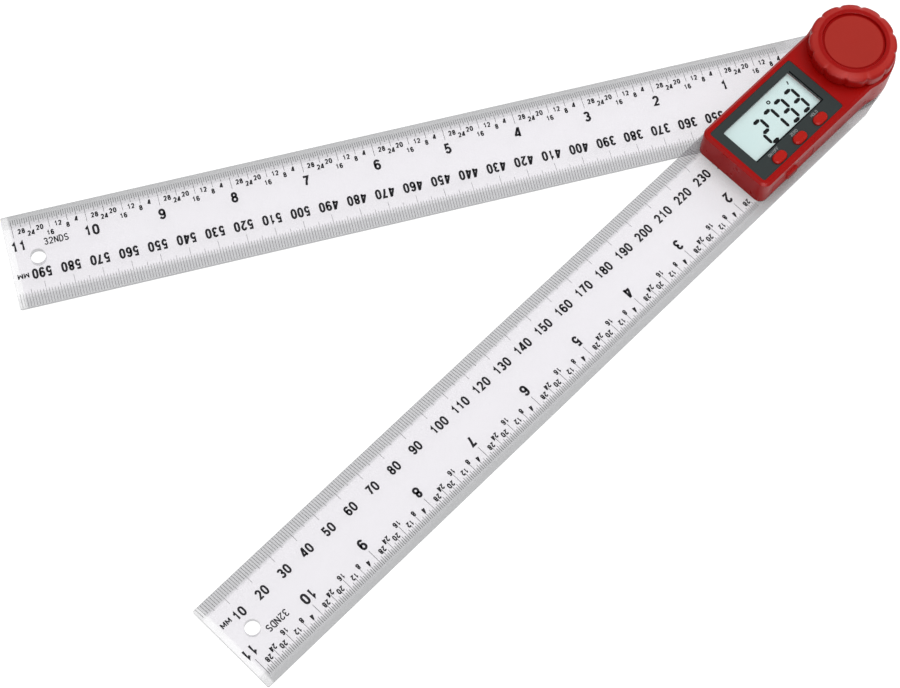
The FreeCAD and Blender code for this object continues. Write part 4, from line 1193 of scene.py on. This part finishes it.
# %% the base arm's print
base_print = Print()
BASE_FIRST = CASE_END + 0.3 * MM
base_skip = math.ceil((ARM_LENGTH - BASE_FIRST) / MM) - 1
grown_marks(base_print, millimetre_marks, Count=base_skip, Pitch=-MM, Skipped=1,
            First=ARM_LENGTH - MM, Side=-1.0, Outer=17.3 * MM, Level=BASE_TOP,
            Reach_1=13.2 * MM, Reach_5=12.3 * MM, Reach_10=10.6 * MM)
for label in range(10, 250, 10):
    third_digit = LABEL_STEP / 2 if label >= 100 else 0
    base_print.words(str(label), 3.6 * MM, LABEL_STEP, ARM_LENGTH - label * MM - third_digit,
                     -6.15 * MM, BASE_TOP, HALF_TURN)
inch_side(base_print, 1.0, BASE_TOP, 0.0, BASE_FIRST, mm(5.3, 11.15, 9.55, 8.15),
          -0.23 * MM, 14.9 * MM, mm(12.9, 12.3, 11.9, 10.0, 9.2, 8.3),
          {10: 1.07 * MM, 11: 0.31 * MM})
base_print.words("MM", *UNIT_WORD, 295.3 * MM, -6.8 * MM, BASE_TOP, HALF_TURN, 0.18)
base_print.words("32NDS", 2.7 * MM, 1.82 * MM, 283.0 * MM, 4.1 * MM, BASE_TOP, 0.0, WORD_PEN_SHARE)
base_print.finished("base_rule_print", arm_ink, "housing")

# %% the swing arm's print
swing_print = Print()
SWING_FIRST = 20.0 * MM
swing_skip = math.ceil(SWING_FIRST / MM)
grown_marks(swing_print, millimetre_marks, Count=300 - swing_skip, Pitch=MM, Skipped=swing_skip,
            First=swing_skip * MM, Side=1.0, Outer=17.3 * MM, Level=SWING_TOP,
            Reach_1=12.5 * MM, Reach_5=11.5 * MM, Reach_10=9.8 * MM)
for label in range(330, 600, 10):
    swing_print.words(str(label), 3.9 * MM, LABEL_STEP, label * MM - ARM_LENGTH + 0.1 * MM, 6.37 * MM,
                      SWING_TOP)
inch_side(swing_print, -1.0, SWING_TOP, HALF_TURN, SWING_FIRST,
          mm(4.87, 10.4, 9.0, 7.6), 0.17 * MM, 15.5 * MM, mm(13.3, 12.7, 12.0, 10.6, 9.6, 8.3),
          {10: 0.9 * MM, 11: 0.97 * MM})
swing_print.words("MM", *UNIT_WORD, 296.5 * MM, 6.3 * MM, SWING_TOP, 0.0, 0.18)
swing_print.words("32NDS", 2.7 * MM, 1.75 * MM, 283.0 * MM, -4.6 * MM, SWING_TOP, HALF_TURN,
                  WORD_PEN_SHARE)
swing_print.finished("swing_rule_print", arm_ink, "swing", REST_TURN)

# %% [markdown]
# ## The display's figures
#
# A liquid-crystal figure is seven bars with pointed ends. The bars are laid out once in the figure's
# own frame, leaning a little, and then turned to be read from the far side of the housing. They lie
# on the glass, under the window.

# %% seven bars for each figure
FIGURE_HEIGHT = 9.5 * MM
FIGURE_WIDTH = 3.5 * MM
LEVEL_BARS = "adg"
LEVEL_BAR_THICKNESS = 1.35 * MM
UPRIGHT_BAR_THICKNESS = 1.15 * MM
LEVEL_BAR_GAP = 0.2 * MM
UPRIGHT_BAR_GAP = 0.16 * MM
FIGURE_LEAN = math.tan(math.radians(2.5))
ROW_SLOPE = math.tan(math.radians(1.3))
FIGURE_BARS = {"2": "abged", "3": "abgcd", "7": "abc"}
GLASS_TOP = highest("display_glass").z
half_tall = FIGURE_HEIGHT / 2
half_wide = FIGURE_WIDTH / 2
BARS = {
    "a": ((-half_wide, half_tall), (half_wide, half_tall)),
    "b": ((half_wide, half_tall), (half_wide, 0)),
    "c": ((half_wide, 0), (half_wide, -half_tall)),
    "d": ((-half_wide, -half_tall), (half_wide, -half_tall)),
    "e": ((-half_wide, 0), (-half_wide, -half_tall)),
    "f": ((-half_wide, half_tall), (-half_wide, 0)),
    "g": ((-half_wide, 0), (half_wide, 0)),
}


def flat_solid(outline, level):
    """A thin solid on an outline of (x, y) points, as a mesh of its own."""
    work = bmesh.new()
    low = [work.verts.new((x, y, level - INK_SINK)) for x, y in outline]
    high = [work.verts.new((x, y, level + INK_STAND)) for x, y in outline]
    work.faces.new(low[::-1])
    work.faces.new(high)
    for here in range(len(outline)):
        after = (here + 1) % len(outline)
        work.faces.new((low[here], low[after], high[after], high[here]))
    return outward_mesh(work, "flat_solid")


def bar_outline(bar):
    """A bar with pointed ends; the level bars are thicker and shorter than the upright ones."""
    start, end = [Vector(place) for place in BARS[bar]]
    thick = LEVEL_BAR_THICKNESS if bar in LEVEL_BARS else UPRIGHT_BAR_THICKNESS
    gap = LEVEL_BAR_GAP if bar in LEVEL_BARS else UPRIGHT_BAR_GAP
    along = (end - start).normalized()
    side = Vector((-along.y, along.x)) * thick / 2
    start, end = start + along * gap, end - along * gap
    taper = along * thick / 2
    return [start, start + taper - side, end - taper - side, end, end - taper + side,
            start + taper + side]


def add_figure(sheet, figure, x, y):
    """A seven-bar figure centred at (x, y), read towards -X with its top towards -Y."""
    for bar in FIGURE_BARS[figure]:
        outline = [(place.x + place.y * FIGURE_LEAN, place.y) for place in bar_outline(bar)]
        turned = [(x - across, y - up) for across, up in outline]
        mesh = flat_solid(turned, GLASS_TOP)
        sheet.stamp(mesh, Matrix.Identity(4))
        bpy.data.meshes.remove(mesh)


# %% the reading
display_ink = moulded("display_ink", seen(10, 11, 13), 0.5, Specular_IOR_Level=0.0)
reading = Print()
for figure, x in (("2", 44.5), ("7", 38.9), ("3", 33.4), ("3", 27.9)):
    add_figure(reading, figure, x * MM, (x - 43.6) * ROW_SLOPE * MM)
reading.words("O", 1.5 * MM, 1.7 * MM, 35.6 * MM, -6.9 * MM, GLASS_TOP, HALF_TURN, 0.3)
reading.words("/", 1.5 * MM, 1.6 * MM, 25.0 * MM, -7.3 * MM, GLASS_TOP, HALF_TURN, 0.3)
reading.finished("display_reading", display_ink, "housing")

# %% the words beside the buttons
PLATE_TOP = highest("display_plate").z
legend_ink = moulded("legend_ink", seen(150, 154, 154), 0.5, Specular_IOR_Level=0.2)
legend = Print()
for words, button in (("ON/OFF", "power_button"), ("ZERO", "zero_button"), ("HOLD", "hold_button")):
    x = (lowest(button).x + highest(button).x) / 2
    legend.words(words, 1.15 * MM, 0.84 * MM, x, 7.45 * MM, PLATE_TOP, HALF_TURN, 0.13)
legend.finished("button_legend", legend_ink, "housing")

# %% the painted shadow line along the window
WINDOW_SHADOW_LINE = 0.4 * MM
window_low, window_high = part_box("display_lens")
line_side = window_high.y + 0.1 * MM + WINDOW_SHADOW_LINE / 2
line_end = window_low.x - 0.1 * MM - WINDOW_SHADOW_LINE / 2
# a strip of dark ink along two edges of the window: a painted shadow of its edge
window_line = Print()
pen_strip(window_line.work, [(window_high.x, line_side), (line_end, line_side), (line_end, window_low.y)],
          WINDOW_SHADOW_LINE, PLATE_TOP - INK_SINK, PLATE_TOP + INK_STAND)
bmesh.ops.recalc_face_normals(window_line.work, faces=window_line.work.faces)
window_line.finished("window_line", display_ink, "housing")

# %% [markdown]
# ## Two small things that finish the inside
#
# The window's opening goes down through the red deck, so a dark liner stands round the lens and
# keeps the red from showing at its edge. A plus is marked on the cell's flat side, which shows
# through the hole in the drawer's floor.

# %% the liner round the lens and the mark on the cell
LINER_CLEARANCE = 0.01 * MM
LINER_WALL = 0.055 * MM
LINER_CORNER = 0.5 * MM
LENS_GAP = 0.08 * MM


def rounded_outline(low, high, corner, inset):
    """Points round a rectangle with rounded corners, moved in by an inset."""
    low_x, low_y, high_x, high_y = low.x + inset, low.y + inset, high.x - inset, high.y - inset
    corner = corner - inset
    return [place for x, y, start in ((high_x - corner, high_y - corner, 0),
                                      (low_x + corner, high_y - corner, 90),
                                      (low_x + corner, low_y + corner, 180),
                                      (high_x - corner, low_y + corner, 270))
            for place in bow(x, y, corner, corner, start, start + 90, 4)]


lens_low, lens_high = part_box("display_lens")
opening_low = lens_low - Vector((LENS_GAP, LENS_GAP, 0))
opening_high = lens_high + Vector((LENS_GAP, LENS_GAP, 0))
middle_line = loop(rounded_outline(opening_low, opening_high, LINER_CORNER,
                                   LINER_CLEARANCE + LINER_WALL / 2))
liner = Print()
pen_strip(liner.work, middle_line, LINER_WALL, lens_low.z, lens_high.z - LINER_WALL)
bmesh.ops.recalc_face_normals(liner.work, faces=liner.work.faces)
liner.finished("window_liner", FINISHES["black_rubber"], "housing")

cell_low, cell_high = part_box("coin_cell")
cell_mark = Print()
cell_mark.words("+", 3.2 * MM, 3.8 * MM, (cell_low.x + cell_high.x) / 2, (cell_low.y + cell_high.y) / 2,
                cell_low.z - INK_STAND + INK_SINK)
cell_mark.finished("cell_plus", display_ink, "drawer")
